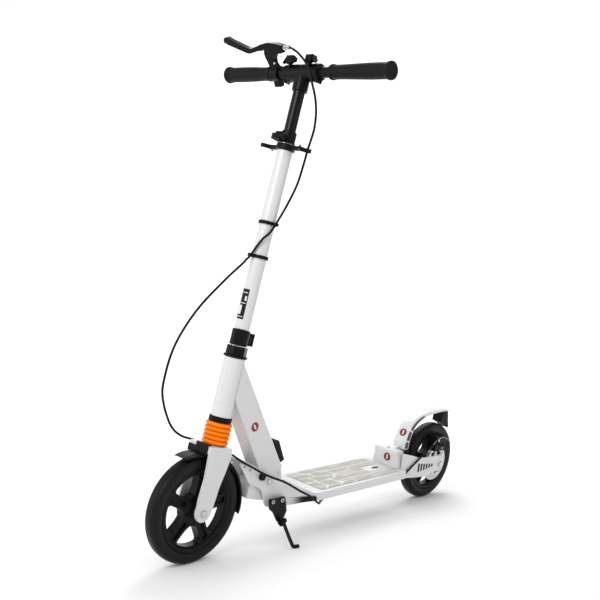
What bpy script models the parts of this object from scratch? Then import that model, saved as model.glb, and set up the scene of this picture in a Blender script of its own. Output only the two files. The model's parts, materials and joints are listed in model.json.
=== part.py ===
"""Kick scooter on two wheels, folding, with front suspension, a rear disc brake and a kickstand.

Metres, +Z up. Forward is -X and the rider's left is -Y. Everything is laid out for an upright scooter
with both wheels in the plane y = 0, then leant onto its kickstand and set on the floor.
Steering pieces use the steering frame: a rearward, y to the right, s up along the steering axis.
"""

import math

import bmesh
import bpy
from mathutils import Matrix, Vector

# Driving dimensions
LEAN = math.radians(9.4)
FRONT_RADIUS = 0.115
REAR_RADIUS = 0.105
FRONT_AXLE = (-0.0155, 0.1140)
REAR_AXLE = (0.4052, 0.105)
TYRE_HALF = 0.017
HEAD_X = -0.4391
HEAD_TILT = 0.1708
FOLD = (-0.2487, 0.1547)
KNUCKLE = 0.047
BAR_S = 1.0536
BAR_R = 0.0115
BAR_END = 0.2368
HINGE_Y = 0.046
HINGE_DROP = 0.018
STEM_TOP = 0.884
LEVER_TILT = math.radians(55)
FENDER_HINGE = (0.2320, 0.1500)
PEDAL_HINGE = (-0.2002, 0.1773)
STAND_PIVOT = (-0.2152, -0.0555, 0.0640)
STAND_AXIS = Vector((0.0, -0.770, 0.638)).normalized()
DECK_TOP = 0.1178
GAP = 0.0004

UPRIGHT = Matrix.Identity(4)
STEERING = Matrix.Translation((HEAD_X, 0, 0)) @ Matrix.Rotation(HEAD_TILT, 4, "Y")
LEVER_TURN = Matrix.Rotation(-(math.pi / 2 - LEVER_TILT), 4, "Y")
LEVER_PLANE = STEERING @ Matrix.Translation((0, 0, BAR_S)) @ LEVER_TURN

COLOURS = {
    "white": ((0.80, 0.80, 0.80, 1), 0.35, 0.0),
    "black": ((0.012, 0.012, 0.012, 1), 0.45, 0.0),
    "rubber": ((0.010, 0.010, 0.010, 1), 0.75, 0.0),
    "steel": ((0.60, 0.60, 0.60, 1), 0.30, 1.0),
    "grey": ((0.45, 0.44, 0.41, 1), 0.80, 0.0),
    "orange": ((1.00, 0.19, 0.00, 1), 0.50, 0.0),
}


def clear_scene():
    for thing in list(bpy.data.objects):
        bpy.data.objects.remove(thing, do_unlink=True)


def material(name, colour):
    """A Principled material of the object's own, in one of the named finishes."""
    base, rough, metal = COLOURS[colour]
    made = bpy.data.materials.new(name + "_finish")
    made.use_nodes = True
    shader = made.node_tree.nodes["Principled BSDF"]
    shader.inputs["Base Color"].default_value = base
    shader.inputs["Roughness"].default_value = rough
    shader.inputs["Metallic"].default_value = metal
    return made


def mesh_object(name, verts, faces):
    """An object from points and faces, with its faces turned outward."""
    mesh = bpy.data.meshes.new(name)
    mesh.from_pydata([tuple(v) for v in verts], [], faces)
    work = bmesh.new()
    work.from_mesh(mesh)
    bmesh.ops.recalc_face_normals(work, faces=work.faces)
    work.to_mesh(mesh)
    work.free()
    made = bpy.data.objects.new(name, mesh)
    bpy.context.scene.collection.objects.link(made)
    return made


def combine(target, tool, operation):
    """Applies one Boolean to the target's mesh and removes the tool."""
    step = target.modifiers.new("step", "BOOLEAN")
    step.object = tool
    step.operation = operation
    step.solver = "EXACT"
    bpy.context.view_layer.update()
    graph = bpy.context.evaluated_depsgraph_get()
    result = bpy.data.meshes.new_from_object(target.evaluated_get(graph))
    target.modifiers.remove(step)
    target.data = result
    bpy.data.objects.remove(tool, do_unlink=True)
    return target


def cut(target, *tools):
    for tool in tools:
        combine(target, tool, "DIFFERENCE")
    return target


def join(target, *tools):
    for tool in tools:
        combine(target, tool, "UNION")
    return target


def ring_points(count):
    return [(math.cos(2 * math.pi * i / count), math.sin(2 * math.pi * i / count)) for i in range(count)]


AXES = {
    "z": lambda u, v, w: (u, v, w),
    "y": lambda u, v, w: (u, w, v),
    "x": lambda u, v, w: (w, u, v),
}


def lathe(name, profile, segments, axis="z", centre=(0, 0, 0)):
    """Turns a closed (radius, height) profile about an axis. Ends at radius 0 are capped."""
    place = AXES[axis]
    capped = profile[0][0] == 0
    inner = profile[1:-1] if capped else profile
    verts = []
    for r, h in inner:
        verts += [Vector(place(r * c, r * s, h)) + Vector(centre) for c, s in ring_points(segments)]
    faces = []
    rows = len(inner)
    last = rows - 1 if capped else rows
    for row in range(last):
        a = row * segments
        b = (row + 1) % rows * segments
        for i in range(segments):
            j = (i + 1) % segments
            faces.append((a + i, a + j, b + j, b + i))
    if capped:
        faces.append(tuple(range(segments)))
        faces.append(tuple(range((rows - 1) * segments, rows * segments)))
    return mesh_object(name, verts, faces)


def rod(name, radius, h0, h1, segments=16, axis="z", centre=(0, 0, 0)):
    return lathe(name, [(0, h0), (radius, h0), (radius, h1), (0, h1)], segments, axis, centre)


def sleeve(name, inner, outer, h0, h1, segments=24, axis="z", centre=(0, 0, 0)):
    return lathe(name, [(outer, h0), (outer, h1), (inner, h1), (inner, h0)], segments, axis, centre)


def prism(name, outline, w0, w1, axis="y"):
    """Extrudes a plane outline between two positions along an axis."""
    place = AXES[axis]
    count = len(outline)
    verts = [place(u, v, w0) for u, v in outline]
    verts += [place(u, v, w1) for u, v in outline]
    faces = [tuple(range(count)), tuple(range(count, 2 * count))]
    for i in range(count):
        j = (i + 1) % count
        faces.append((i, j, count + j, count + i))
    return mesh_object(name, verts, faces)


def box(name, x0, x1, y0, y1, z0, z1):
    return prism(name, [(x0, z0), (x1, z0), (x1, z1), (x0, z1)], y0, y1, "y")


def rounded(points, radius, steps=3):
    """Rounds the corners of an outline with arcs drawn as short quadratic curves."""
    out = []
    count = len(points)
    for i in range(count):
        here = Vector(points[i])
        before = Vector(points[i - 1]) - here
        after = Vector(points[(i + 1) % count]) - here
        reach = min(radius, before.length * 0.45, after.length * 0.45)
        a = here + before.normalized() * reach
        b = here + after.normalized() * reach
        for k in range(steps + 1):
            t = k / steps
            out.append(tuple(a * (1 - t) ** 2 + here * 2 * t * (1 - t) + b * t * t))
    return out


def arc(cx, cy, radius, start, stop, steps):
    """Points on an arc, angles in degrees."""
    out = []
    for k in range(steps + 1):
        t = math.radians(start + (stop - start) * k / steps)
        out.append((cx + radius * math.cos(t), cy + radius * math.sin(t)))
    return out


def loft(name, sections):
    """Skins closed sections that all have the same number of points, and caps both ends."""
    count = len(sections[0])
    verts = [p for section in sections for p in section]
    faces = []
    for row in range(len(sections) - 1):
        a = row * count
        b = a + count
        for i in range(count):
            j = (i + 1) % count
            faces.append((a + i, a + j, b + j, b + i))
    faces.append(tuple(range(count)))
    faces.append(tuple(range(len(verts) - count, len(verts))))
    return mesh_object(name, verts, faces)


def smooth_path(points, per):
    """A Catmull-Rom curve through the points, with a few steps to each span."""
    pts = [Vector(p) for p in points]
    pts = [pts[0] * 2 - pts[1]] + pts + [pts[-1] * 2 - pts[-2]]
    out = []
    for i in range(1, len(pts) - 2):
        p0, p1, p2, p3 = pts[i - 1 : i + 3]
        for k in range(per):
            t = k / per
            bend = (p0 * 2 - p1 * 5 + p2 * 4 - p3) * t * t
            twist = (p1 * 3 - p0 - p2 * 3 + p3) * t ** 3
            out.append((p1 * 2 + (p2 - p0) * t + bend + twist) * 0.5)
    out.append(pts[-2])
    return out


def tube(name, path, radius, sides=8):
    """A round solid swept along a path, closed by flat ends."""
    path = [Vector(p) for p in path]
    tangents = []
    for i, _ in enumerate(path):
        before = path[max(i - 1, 0)]
        after = path[min(i + 1, len(path) - 1)]
        tangents.append((after - before).normalized())
    across = tangents[0].orthogonal().normalized()
    sections = []
    for point, way in zip(path, tangents):
        across = (across - way * across.dot(way)).normalized()
        other = way.cross(across)
        sections.append([point + (across * c + other * s) * radius for c, s in ring_points(sides)])
    return loft(name, sections)


def helix(radius, h0, h1, turns, per_turn):
    out = []
    total = int(turns * per_turn)
    for k in range(total + 1):
        t = k / total
        turn = 2 * math.pi * turns * t
        out.append((radius * math.cos(turn), radius * math.sin(turn), h0 + (h1 - h0) * t))
    return out


BODIES = {}


def body(name, parent, frame):
    """An empty at a joint, or at the root of the scooter, that the pieces of one moving body hang from."""
    made = bpy.data.objects.new(name, None)
    made.empty_display_size = 0.02
    bpy.context.scene.collection.objects.link(made)
    if parent is None:
        made.matrix_basis = frame
    else:
        holder, held = BODIES[parent]
        made.parent = holder
        made.matrix_basis = held.inverted() @ frame
    BODIES[name] = (made, frame)
    return made


def put(thing, name, owner, colour, frame=UPRIGHT):
    """Names a finished piece, gives it its finish and hangs it from its body."""
    holder, held = BODIES[owner]
    thing.data.transform(held.inverted() @ frame)
    thing.name = name
    thing.data.name = name
    thing.parent = holder
    thing.data.materials.clear()
    thing.data.materials.append(material(name, colour))
    return thing


def make_bodies():
    """Every moving body, with its empty on the axis of its joint."""
    body("scooter", None, UPRIGHT)
    body("front_frame", "scooter", Matrix.Translation((FOLD[0], 0, FOLD[1])))
    body("fold_lever_joint", "front_frame", Matrix.Translation((PEDAL_HINGE[0], 0, PEDAL_HINGE[1])))
    body("kickstand_joint", "scooter", Matrix.Translation(STAND_PIVOT))
    body("rear_fender_joint", "scooter", Matrix.Translation((FENDER_HINGE[0], 0, FENDER_HINGE[1])))
    body("rear_wheel_joint", "scooter", Matrix.Translation((REAR_AXLE[0], 0, REAR_AXLE[1])))
    body("caliper_arm_joint", "scooter", Matrix.Translation((0.402, -0.05, 0.162)))
    body("steering", "front_frame", STEERING)
    body("suspension", "steering", STEERING)
    axle = STEERING @ Matrix.Translation((FRONT_AXLE[0], 0, FRONT_AXLE[1]))
    body("front_wheel_joint", "suspension", axle)
    body("clamp_lever_joint", "steering", STEERING @ Matrix.Translation((-0.026, 0.0165, 0.908)))
    body("height", "steering", STEERING @ Matrix.Translation((0, 0, BAR_S)))
    for side, sign in (("left", -1), ("right", 1)):
        hinge = Matrix.Translation((0, sign * HINGE_Y, BAR_S - HINGE_DROP))
        body("bar_" + side + "_joint", "height", STEERING @ hinge)
        latch = Matrix.Translation((-0.017, sign * 0.028, BAR_S + 0.0215))
        body("latch_" + side + "_joint", "height", STEERING @ latch)
    body("brake_lever_joint", "bar_right_joint", LEVER_PLANE @ Matrix.Translation((0, 0.0885, 0.0565)))


# Deck

def make_deck():
    corners = [(-0.131, -0.0685), (0.225, -0.0685), (0.225, 0.0685), (-0.131, 0.0685)]
    deck = prism("deck", rounded(corners, 0.012, 3), 0.0985, DECK_TOP, "z")
    for y0, y1 in ((-0.0640, -0.0235), (-0.0195, 0.0195), (0.0235, 0.0640)):
        for x0, x1 in ((-0.126, 0.045), (0.049, 0.219)):
            cut(deck, box("pocket", x0, x1, y0, y1, 0.0900, 0.1138))
    slot = [(0.150, -0.007), (0.160, -0.0125), (0.172, -0.0125), (0.181, -0.007), (0.172, -0.0015),
            (0.160, -0.0015)]
    cut(deck, prism("slot", slot, 0.10, 0.13, "z"))
    put(deck, "deck_platform", "scooter", "white")


def make_grip_sheet():
    left = [(-0.100, -0.058), (0.196, -0.058), (0.205, -0.050), (0.205, -0.034), (0.196, -0.026),
            (0.120, -0.026)]
    right = [(0.120, 0.012), (0.190, 0.012), (0.200, 0.020), (0.200, 0.046), (0.190, 0.058), (-0.100, 0.058)]
    sheet = prism("sheet", rounded(left + right, 0.005, 2), DECK_TOP + 0.0004, DECK_TOP + 0.0012, "z")
    put(sheet, "grip_tape", "scooter", "grey")


def bracket_outline():
    top = [(-0.3450, 0.2055), (-0.3310, 0.2095), (-0.2754, 0.1805), (-0.2487, 0.1655), (-0.2300, 0.1560)]
    low = [(-0.2300, 0.0985), (-0.2350, 0.0945), (-0.2496, 0.0945), (-0.2560, 0.1020), (-0.2600, 0.1180)]
    front = [(-0.2676, 0.1345), (-0.2853, 0.1470), (-0.3008, 0.1520), (-0.3135, 0.1615), (-0.3225, 0.1760)]
    return rounded(top + low + front + [(-0.3340, 0.1920)], 0.005, 2)


def splay(sign):
    """The part of a fold bracket that runs outward to the side of the deck."""
    stations = ((-0.2360, 0.0265, 0.1575), (-0.2320, 0.0265, 0.1565), (-0.1316, 0.0625, 0.1178))
    sections = []
    for x, y, top in stations:
        near = sign * y
        far = sign * (y + 0.004)
        sections.append([(x, near, 0.0985), (x, far, 0.0985), (x, far, top), (x, near, top)])
    return loft("splay", sections)


def make_fold_brackets():
    for side, sign in (("left", -1), ("right", 1)):
        plate = prism("plate", bracket_outline(), sign * 0.0265, sign * 0.0305)
        join(plate, splay(sign))
        cut(plate, rod("bore", 0.0044, -0.08, 0.08, 16, "y", (FOLD[0], 0, FOLD[1])))
        cut(plate, rod("bore", 0.0044, -0.08, 0.08, 16, "y", (-0.2754, 0, 0.1690)))
        cut(plate, rod("bore", 0.0030, -0.08, 0.08, 12, "y", (-0.3300, 0, 0.1985)))
        cut(plate, rod("bore", 0.0030, -0.08, 0.08, 12, "y", (-0.3120, 0, 0.1880)))
        put(plate, "fold_bracket_" + side, "scooter", "white")
    wedge = [(-0.1680, -0.0488), (-0.1316, -0.0619), (-0.1316, 0.0619), (-0.1680, 0.0488)]
    bar = prism("bar", wedge, 0.0990, 0.1172, "z")
    put(bar, "deck_crosspiece", "scooter", "white")
    line = [(-0.3350, 0.1990), (-0.3320, 0.2120), (-0.2850, 0.1880), (-0.2880, 0.1790)]
    latch = prism("latch", rounded(line, 0.003, 2), -0.0261, -0.0229)
    put(latch, "latch_plate", "scooter", "steel")


def make_fold_bolts():
    half = [(0, -0.0345), (0.0060, -0.0345), (0.0075, -0.0335), (0.0075, -0.0310), (0.0040, -0.0310)]
    pin = lathe("pin", half + [(0.0040, 0.0310), (0.0075, 0.0310), (0.0075, 0.0335), (0.0060, 0.0345),
                               (0, 0.0345)],
                16, "y", (FOLD[0], 0, FOLD[1]))
    put(pin, "fold_pivot_bolt", "scooter", "steel")
    cap = [(0, -0.0375), (0.0070, -0.0375), (0.0085, -0.0360), (0.0085, -0.0309), (0.0040, -0.0309),
           (0.0040, -0.0269), (0, -0.0269)]
    knob = lathe("knob", cap, 20, "y", (-0.2754, 0, 0.1690))
    put(knob, "bracket_cap_bolt", "scooter", "black")


def make_kickstand():
    """The black bracket under the left fold bracket, and the leg that swings back under the deck."""
    sheet = [(-0.2550, 0.1171), (-0.2092, 0.1179), (-0.1979, 0.0830), (-0.2080, 0.0600), (-0.2240, 0.0600),
             (-0.2400, 0.0845), (-0.2550, 0.0960)]
    plate = prism("plate", rounded(sheet, 0.004, 2), -0.0470, -0.0435)
    turn = Matrix.Translation(STAND_PIVOT) @ STAND_AXIS.to_track_quat("Z", "X").to_matrix().to_4x4()
    disc = rod("disc", 0.0090, -0.0090, -0.0062, 20)
    disc.data.transform(turn)
    pin = lathe("pin", [(0, -0.0080), (0.0025, -0.0080), (0.0025, 0.0060), (0.0050, 0.0060),
                        (0.0050, 0.0078),
                        (0, 0.0078)], 12)
    pin.data.transform(turn)
    join(disc, pin)
    join(plate, disc)
    join(plate, rod("boss", 0.0050, -0.0440, -0.0309, 12, "y", (-0.2389, 0, 0.1072)))
    join(plate, rod("boss", 0.0050, -0.0440, -0.0412, 12, "y", (-0.2095, 0, 0.1073)))
    put(plate, "kickstand_bracket", "scooter", "black")
    barrel = rod("barrel", 0.0056, -0.0056, 0.0056, 16)
    barrel.data.transform(turn)
    leg = tube("leg", [(-0.2153, -0.0580, 0.0610), (-0.2158, -0.0760, 0.0393), (-0.2162, -0.0905, 0.0235),
                       (-0.2156, -0.0935, 0.0202), (-0.2138, -0.0950, 0.0193), (-0.2019, -0.0982, 0.0197)],
               0.0040, 10)
    join(leg, barrel)
    bore = rod("bore", 0.0028, -0.02, 0.02, 12)
    bore.data.transform(turn)
    cut(leg, bore)
    put(leg, "kickstand_leg", "kickstand_joint", "black")


def rear_plate_outline():
    top = [(0.2275, 0.1570), (0.2640, 0.1480), (0.3032, 0.1360), (0.3450, 0.1320), (0.3540, 0.1360)]
    hooks = [(0.3560, 0.1450), (0.3630, 0.1480), (0.3700, 0.1440), (0.3720, 0.1330), (0.4100, 0.1290)]
    back = [(0.4130, 0.1380), (0.4190, 0.1380), (0.4250, 0.1150), (0.4230, 0.1000), (0.4120, 0.0900)]
    low = [(0.3850, 0.0860), (0.3411, 0.0790), (0.2900, 0.0840), (0.2370, 0.0900), (0.1956, 0.0873)]
    return top + hooks + back + low + [(0.1956, 0.0955), (0.2275, 0.0955)]


def make_rear_plates():
    for side, sign in (("left", -1), ("right", 1)):
        plate = prism("plate", rounded(rear_plate_outline(), 0.004, 2), sign * 0.0436, sign * 0.0476)
        cut(plate, rod("bore", 0.0044, -0.08, 0.08, 16, "y", (REAR_AXLE[0], 0, REAR_AXLE[1])))
        notch = [(0.3580, 0.1320), (0.3700, 0.1320), (0.3760, 0.1400), (0.3700, 0.1430),
                 (0.3640, 0.1435), (0.3580, 0.1410)]
        cut(plate, prism("notch", notch, -0.08, 0.08))
        for k in range(6):
            x = 0.301 + 0.0125 * k
            tall = 0.0235 - 0.003 * k
            low = 0.0965 + 0.0012 * k
            window = [(x, low), (x + 0.0085, low), (x + 0.0085, low + tall), (x, low + tall)]
            cut(plate, prism("window", window, -0.08, 0.08))
        put(plate, "rear_plate_" + side, "scooter", "white")
    ends = [(0, -0.0535), (0.0060, -0.0535), (0.0075, -0.0520), (0.0075, -0.0480), (0.0040, -0.0480),
            (0.0040, 0.0480), (0.0075, 0.0480), (0.0075, 0.0520), (0.0060, 0.0535), (0, 0.0535)]
    axle = lathe("axle", ends, 16, "y", (REAR_AXLE[0], 0, REAR_AXLE[1]))
    put(axle, "rear_axle", "scooter", "steel")


def make_fender_bracket():
    sections = []
    for z, x0, x1, half in ((0.1182, 0.2120, 0.2440, 0.0425), (0.1230, 0.2145, 0.2440, 0.0415),
                            (0.1560, 0.2130, 0.2440, 0.0350), (0.1600, 0.2160, 0.2410, 0.0335)):
        corners = [(x0, -half), (x1, -half), (x1, half), (x0, half)]
        sections.append([(x, y, z) for x, y in rounded(corners, 0.0025, 2)])
    block = loft("block", sections)
    cut(block, box("slot", 0.2235, 0.2600, -0.0080, 0.0080, 0.1420, 0.1800))
    join(block, rod("pin", 0.0030, -0.0110, 0.0110, 12, "y", (FENDER_HINGE[0], 0, FENDER_HINGE[1])))
    put(block, "fender_bracket", "scooter", "white")


def make_cable_boot():
    """The tapered boot that guides the cable past the front corner of the deck."""
    path = [(-0.1660, -0.0702, 0.1240), (-0.1450, -0.0722, 0.1110), (-0.1330, -0.0722, 0.1022)]
    outer = [0.0036, 0.0062, 0.0078]
    sections = []
    for point, r in zip(path, outer):
        sections.append([(point[0] + 0.6 * r * c, point[1] - 0.0008 + 0.45 * r * c, point[2] + r * s)
                         for c, s in ring_points(12)])
    boot = loft("boot", sections)
    cut(boot, tube("bore", smooth_path(DECK_CABLE, 2)[17:31], 0.0030, 12))
    put(boot, "cable_grommet", "scooter", "black")


def make_caliper():
    block = box("block", 0.3750, 0.4250, -0.0460, -0.0190, 0.1430, 0.1850)
    cut(block, box("slot", 0.3600, 0.4400, -0.0300, -0.0269, 0.1300, 0.1580))
    cut(block, box("corner", 0.4150, 0.4300, -0.0500, -0.0100, 0.1700, 0.1900))
    lug = prism("lug", [(0.3590, 0.1345), (0.3800, 0.1345), (0.3800, 0.1500),
                        (0.3590, 0.1430)], -0.0432, -0.0390)
    join(lug, rod("bolt", 0.0038, -0.0500, -0.0400, 12, "y", (0.3637, 0, 0.1378)))
    join(block, lug)
    join(block, rod("stub", 0.0028, -0.0560, -0.0450, 12, "y", (0.402, 0, 0.162)))
    put(block, "caliper_body", "scooter", "black")
    shape = [(0.4090, 0.1600), (0.4080, 0.1670), (0.4020, 0.1700), (0.3800, 0.1790), (0.3700, 0.1780),
             (0.3720, 0.1720), (0.3940, 0.1590), (0.4030, 0.1545)]
    arm = prism("arm", rounded(shape, 0.002, 2), -0.0530, -0.0470)
    cut(arm, rod("bore", 0.0032, -0.0700, -0.0400, 12, "y", (0.402, 0, 0.162)))
    put(arm, "caliper_arm", "caliper_arm_joint", "steel")


# Wheels

def make_wheel(prefix, owner, centre, radius, frame, seat, hub_half):
    x, z = centre
    place = (x, 0, z)
    bead = seat + 0.0005
    tyre = [(bead, -0.0145), (radius - 0.012, -0.0168), (radius - 0.005, -0.0150), (radius - 0.001, -0.0085),
            (radius, 0.0), (radius - 0.001, 0.0085), (radius - 0.005, 0.0150), (radius - 0.012, 0.0168),
            (bead, 0.0145)]
    put(lathe("tyre", tyre, 48, "y", place), prefix + "_tyre", owner, "rubber", frame)
    lip = [(seat - 0.009, -0.0145), (seat, -0.0145), (seat, 0.0145), (seat - 0.009, 0.0145)]
    web = [(seat - 0.011, 0.0090), (0.0300, 0.0100), (0.0215, 0.0150), (0.0115, 0.0150)]
    mirror = [(0.0115, -0.0150), (0.0215, -0.0150), (0.0300, -0.0100), (seat - 0.011, -0.0090)]
    rim = lathe("rim", lip + web + mirror, 30, "y", place)
    for k in range(5):
        middle = 72 * k + 54
        hole = arc(x, z, seat - 0.013, middle + 27, middle - 27, 4)
        hole += arc(x, z, 0.038, middle - 20, middle + 20, 2)
        cut(rim, prism("hole", hole, -0.05, 0.05))
    put(rim, prefix + "_rim", owner, "black", frame)
    half = [(0.0110, 0.0), (0.0110, 0.0146), (0.0060, 0.0150), (0.0060, hub_half), (0.0045, hub_half)]
    other = [(0.0045, -hub_half), (0.0060, -hub_half), (0.0060, -0.0150), (0.0110, -0.0146)]
    put(lathe("bearing", half + other, 20, "y", place), prefix + "_bearings", owner, "steel", frame)


def make_brake_disc():
    place = (REAR_AXLE[0], 0, REAR_AXLE[1])
    disc = sleeve("disc", 0.0125, 0.0500, -0.0295, -0.0275, 36, "y", place)
    for k in range(6):
        middle = 60 * k
        hole = arc(place[0], place[2], 0.038, middle + 22, middle - 22, 3)
        hole += arc(place[0], place[2], 0.024, middle - 16, middle + 16, 1)
        cut(disc, prism("hole", hole, -0.05, 0.05))
    join(disc, sleeve("carrier", 0.0125, 0.0180, -0.0280, -0.0154, 18, "y", place))
    put(disc, "brake_disc", "rear_wheel_joint", "steel")


# Fenders

def channel(point, normal, half, deep, thick):
    """Cross-section of a fender: a shallow channel open toward the tyre."""
    shoulder = min(0.006, deep * 0.6)
    outer = [(-half, deep), (-half, shoulder), (-half + 0.006, 0.0), (half - 0.006, 0.0),
             (half, shoulder), (half, deep)]
    rim = half - thick
    inner = [(rim, deep), (rim, shoulder + thick * 0.3), (rim - 0.005, thick), (-rim + 0.005, thick)]
    inner += [(-rim, shoulder + thick * 0.3), (-rim, deep)]
    out = []
    for y, down in outer + inner:
        out.append((point[0] - normal[0] * down, y, point[1] - normal[1] * down))
    return out


def make_front_fender():
    """Arc over the front tyre in the steering frame, flaring away from it toward the front."""
    turns = ((-2, 0.1195), (10, 0.1195), (24, 0.1195), (38, 0.1195), (52, 0.1195), (64, 0.1195),
             (76, 0.1197), (88, 0.1200), (97, 0.1207), (106, 0.1230), (114, 0.1255), (122, 0.1275))
    sections = []
    for degrees, radius in turns:
        t = math.radians(degrees)
        normal = (math.cos(t), math.sin(t))
        point = (FRONT_AXLE[0] + radius * normal[0], FRONT_AXLE[1] + radius * normal[1])
        sections.append(channel(point, normal, 0.0210, 0.0060, 0.0020))
    put(loft("fender", sections), "front_fender", "suspension", "black", STEERING)


def make_rear_fender():
    line = ((0.2640, 0.1560), (0.2665, 0.1760), (0.2735, 0.1960), (0.2860, 0.2150), (0.3050, 0.2300),
            (0.3320, 0.2410), (0.3700, 0.2475), (0.4180, 0.2495), (0.4450, 0.2485), (0.4660, 0.2455))
    depth = (0.022, 0.022, 0.021, 0.019, 0.016, 0.012, 0.008, 0.006, 0.005, 0.004)
    sections = []
    for i, point in enumerate(line):
        before = Vector(line[max(i - 1, 0)])
        after = Vector(line[min(i + 1, len(line) - 1)])
        way = (after - before).normalized()
        normal = (-way[1], way[0])
        sections.append(channel(point, normal, 0.0190, depth[i], 0.0022))
    shell = loft("shell", sections)
    web = [(0.2285, 0.1525), (0.2320, 0.1555), (0.2650, 0.1640), (0.2740, 0.1840), (0.2820, 0.1830),
           (0.2860, 0.1700),
           (0.2760, 0.1540), (0.2400, 0.1470)]
    join(shell, prism("web", web, -0.0070, 0.0070))
    join(shell, rod("barrel", 0.0060, -0.0074, 0.0074, 16, "y", (FENDER_HINGE[0], 0, FENDER_HINGE[1])))
    cut(shell, rod("bore", 0.0034, -0.0300, 0.0300, 12, "y", (FENDER_HINGE[0], 0, FENDER_HINGE[1])))
    put(shell, "rear_fender", "rear_fender_joint", "white")
    pad = [(0.4620, 0.2412), (0.4742, 0.1935)] + arc(REAR_AXLE[0], REAR_AXLE[1], 0.1104, 52, 74, 8)
    pad += [(0.4385, 0.2432)]
    put(prism("pad", pad, -0.0160, 0.0160), "brake_block", "rear_fender_joint", "rubber")


# Folding frame

def make_frame():
    head = sleeve("head", 0.0200, 0.0225, 0.3068, 0.4377, 28)
    put(head, "head_tube", "front_frame", "white", STEERING)
    cup = [(0.0155, 0.3008), (0.0240, 0.3008), (0.0248, 0.3020), (0.0248, 0.3120), (0.0229, 0.3120),
           (0.0229, 0.3064), (0.0155, 0.3064)]
    put(lathe("cup", cup, 28), "headset_cup_lower", "front_frame", "black", STEERING)
    race = sleeve("race", 0.0156, 0.0196, 0.4230, 0.4370, 28)
    put(race, "headset_cup_upper", "front_frame", "steel", STEERING)
    down = [(-0.3800, 0.4320), (-0.3563, 0.4217), (-0.2055, 0.1802)]
    down += arc(FOLD[0], FOLD[1], KNUCKLE, 28, -92, 10)
    down += [(-0.2900, 0.1165), (-0.3025, 0.1200), (-0.3035, 0.1240), (-0.2990, 0.1500), (-0.2950, 0.1530)]
    down += [(-0.2830, 0.1600), (-0.2754, 0.1825), (-0.3680, 0.3416), (-0.3950, 0.4000)]
    tube_body = prism("down", down, -0.0215, 0.0215)
    hollow = [(-0.3800, 0.4250), (-0.3600, 0.4175), (-0.2200, 0.1960), (-0.2540, 0.1960), (-0.2745, 0.1960),
              (-0.3640, 0.3480), (-0.3900, 0.4000)]
    cut(tube_body, prism("hollow", hollow, -0.0185, 0.0185))
    shave = rod("shave", 0.0232, 0.2800, 0.4600, 28)
    shave.data.transform(STEERING)
    cut(tube_body, shave)
    for sign in (-1, 1):
        lug = [(-0.2140, 0.1650), (-0.2010, 0.1650), (-0.1965, 0.1760), (-0.1975, 0.1805), (-0.2010, 0.1815),
               (-0.2120, 0.1800)]
        join(tube_body, prism("lug", rounded(lug, 0.002, 2), sign * 0.0096, sign * 0.0150))
    join(tube_body, rod("pin", 0.0020, -0.0130, 0.0130, 10, "y", (PEDAL_HINGE[0], 0, PEDAL_HINGE[1])))
    cut(tube_body, rod("bore", 0.0044, -0.05, 0.05, 16, "y", (FOLD[0], 0, FOLD[1])))
    trim_islands(tube_body)
    put(tube_body, "down_tube", "front_frame", "white")
    shape = [(-0.2300, 0.2335), (-0.2255, 0.2360), (-0.1965, 0.1840), (-0.1962, 0.1775), (-0.2000, 0.1738),
             (-0.2040, 0.1775), (-0.2045, 0.1862)]
    pedal = prism("pedal", rounded(shape, 0.0012, 2), -0.0090, 0.0090)
    wide = [(-0.2300, 0.2335), (-0.2195, 0.2395), (-0.1950, 0.1925), (-0.2045, 0.1872)]
    join(pedal, prism("pad", rounded(wide, 0.0012, 2), -0.0180, 0.0180))
    cut(pedal, rod("bore", 0.0023, -0.03, 0.03, 10, "y", (PEDAL_HINGE[0], 0, PEDAL_HINGE[1])))
    put(pedal, "fold_lever", "fold_lever_joint", "black")


def trim_islands(thing):
    """Keeps only the largest connected lump of a mesh."""
    work = bmesh.new()
    work.from_mesh(thing.data)
    left = set(work.verts)
    lumps = []
    while left:
        seed = left.pop()
        lump = {seed}
        edge = [seed]
        while edge:
            here = edge.pop()
            for link in here.link_edges:
                other = link.other_vert(here)
                if other not in lump:
                    lump.add(other)
                    edge.append(other)
        left -= lump
        lumps.append(lump)
    lumps.sort(key=len)
    for lump in lumps[:-1]:
        bmesh.ops.delete(work, geom=list(lump), context="VERTS")
    work.to_mesh(thing.data)
    work.free()


# Steering column and fork

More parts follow.
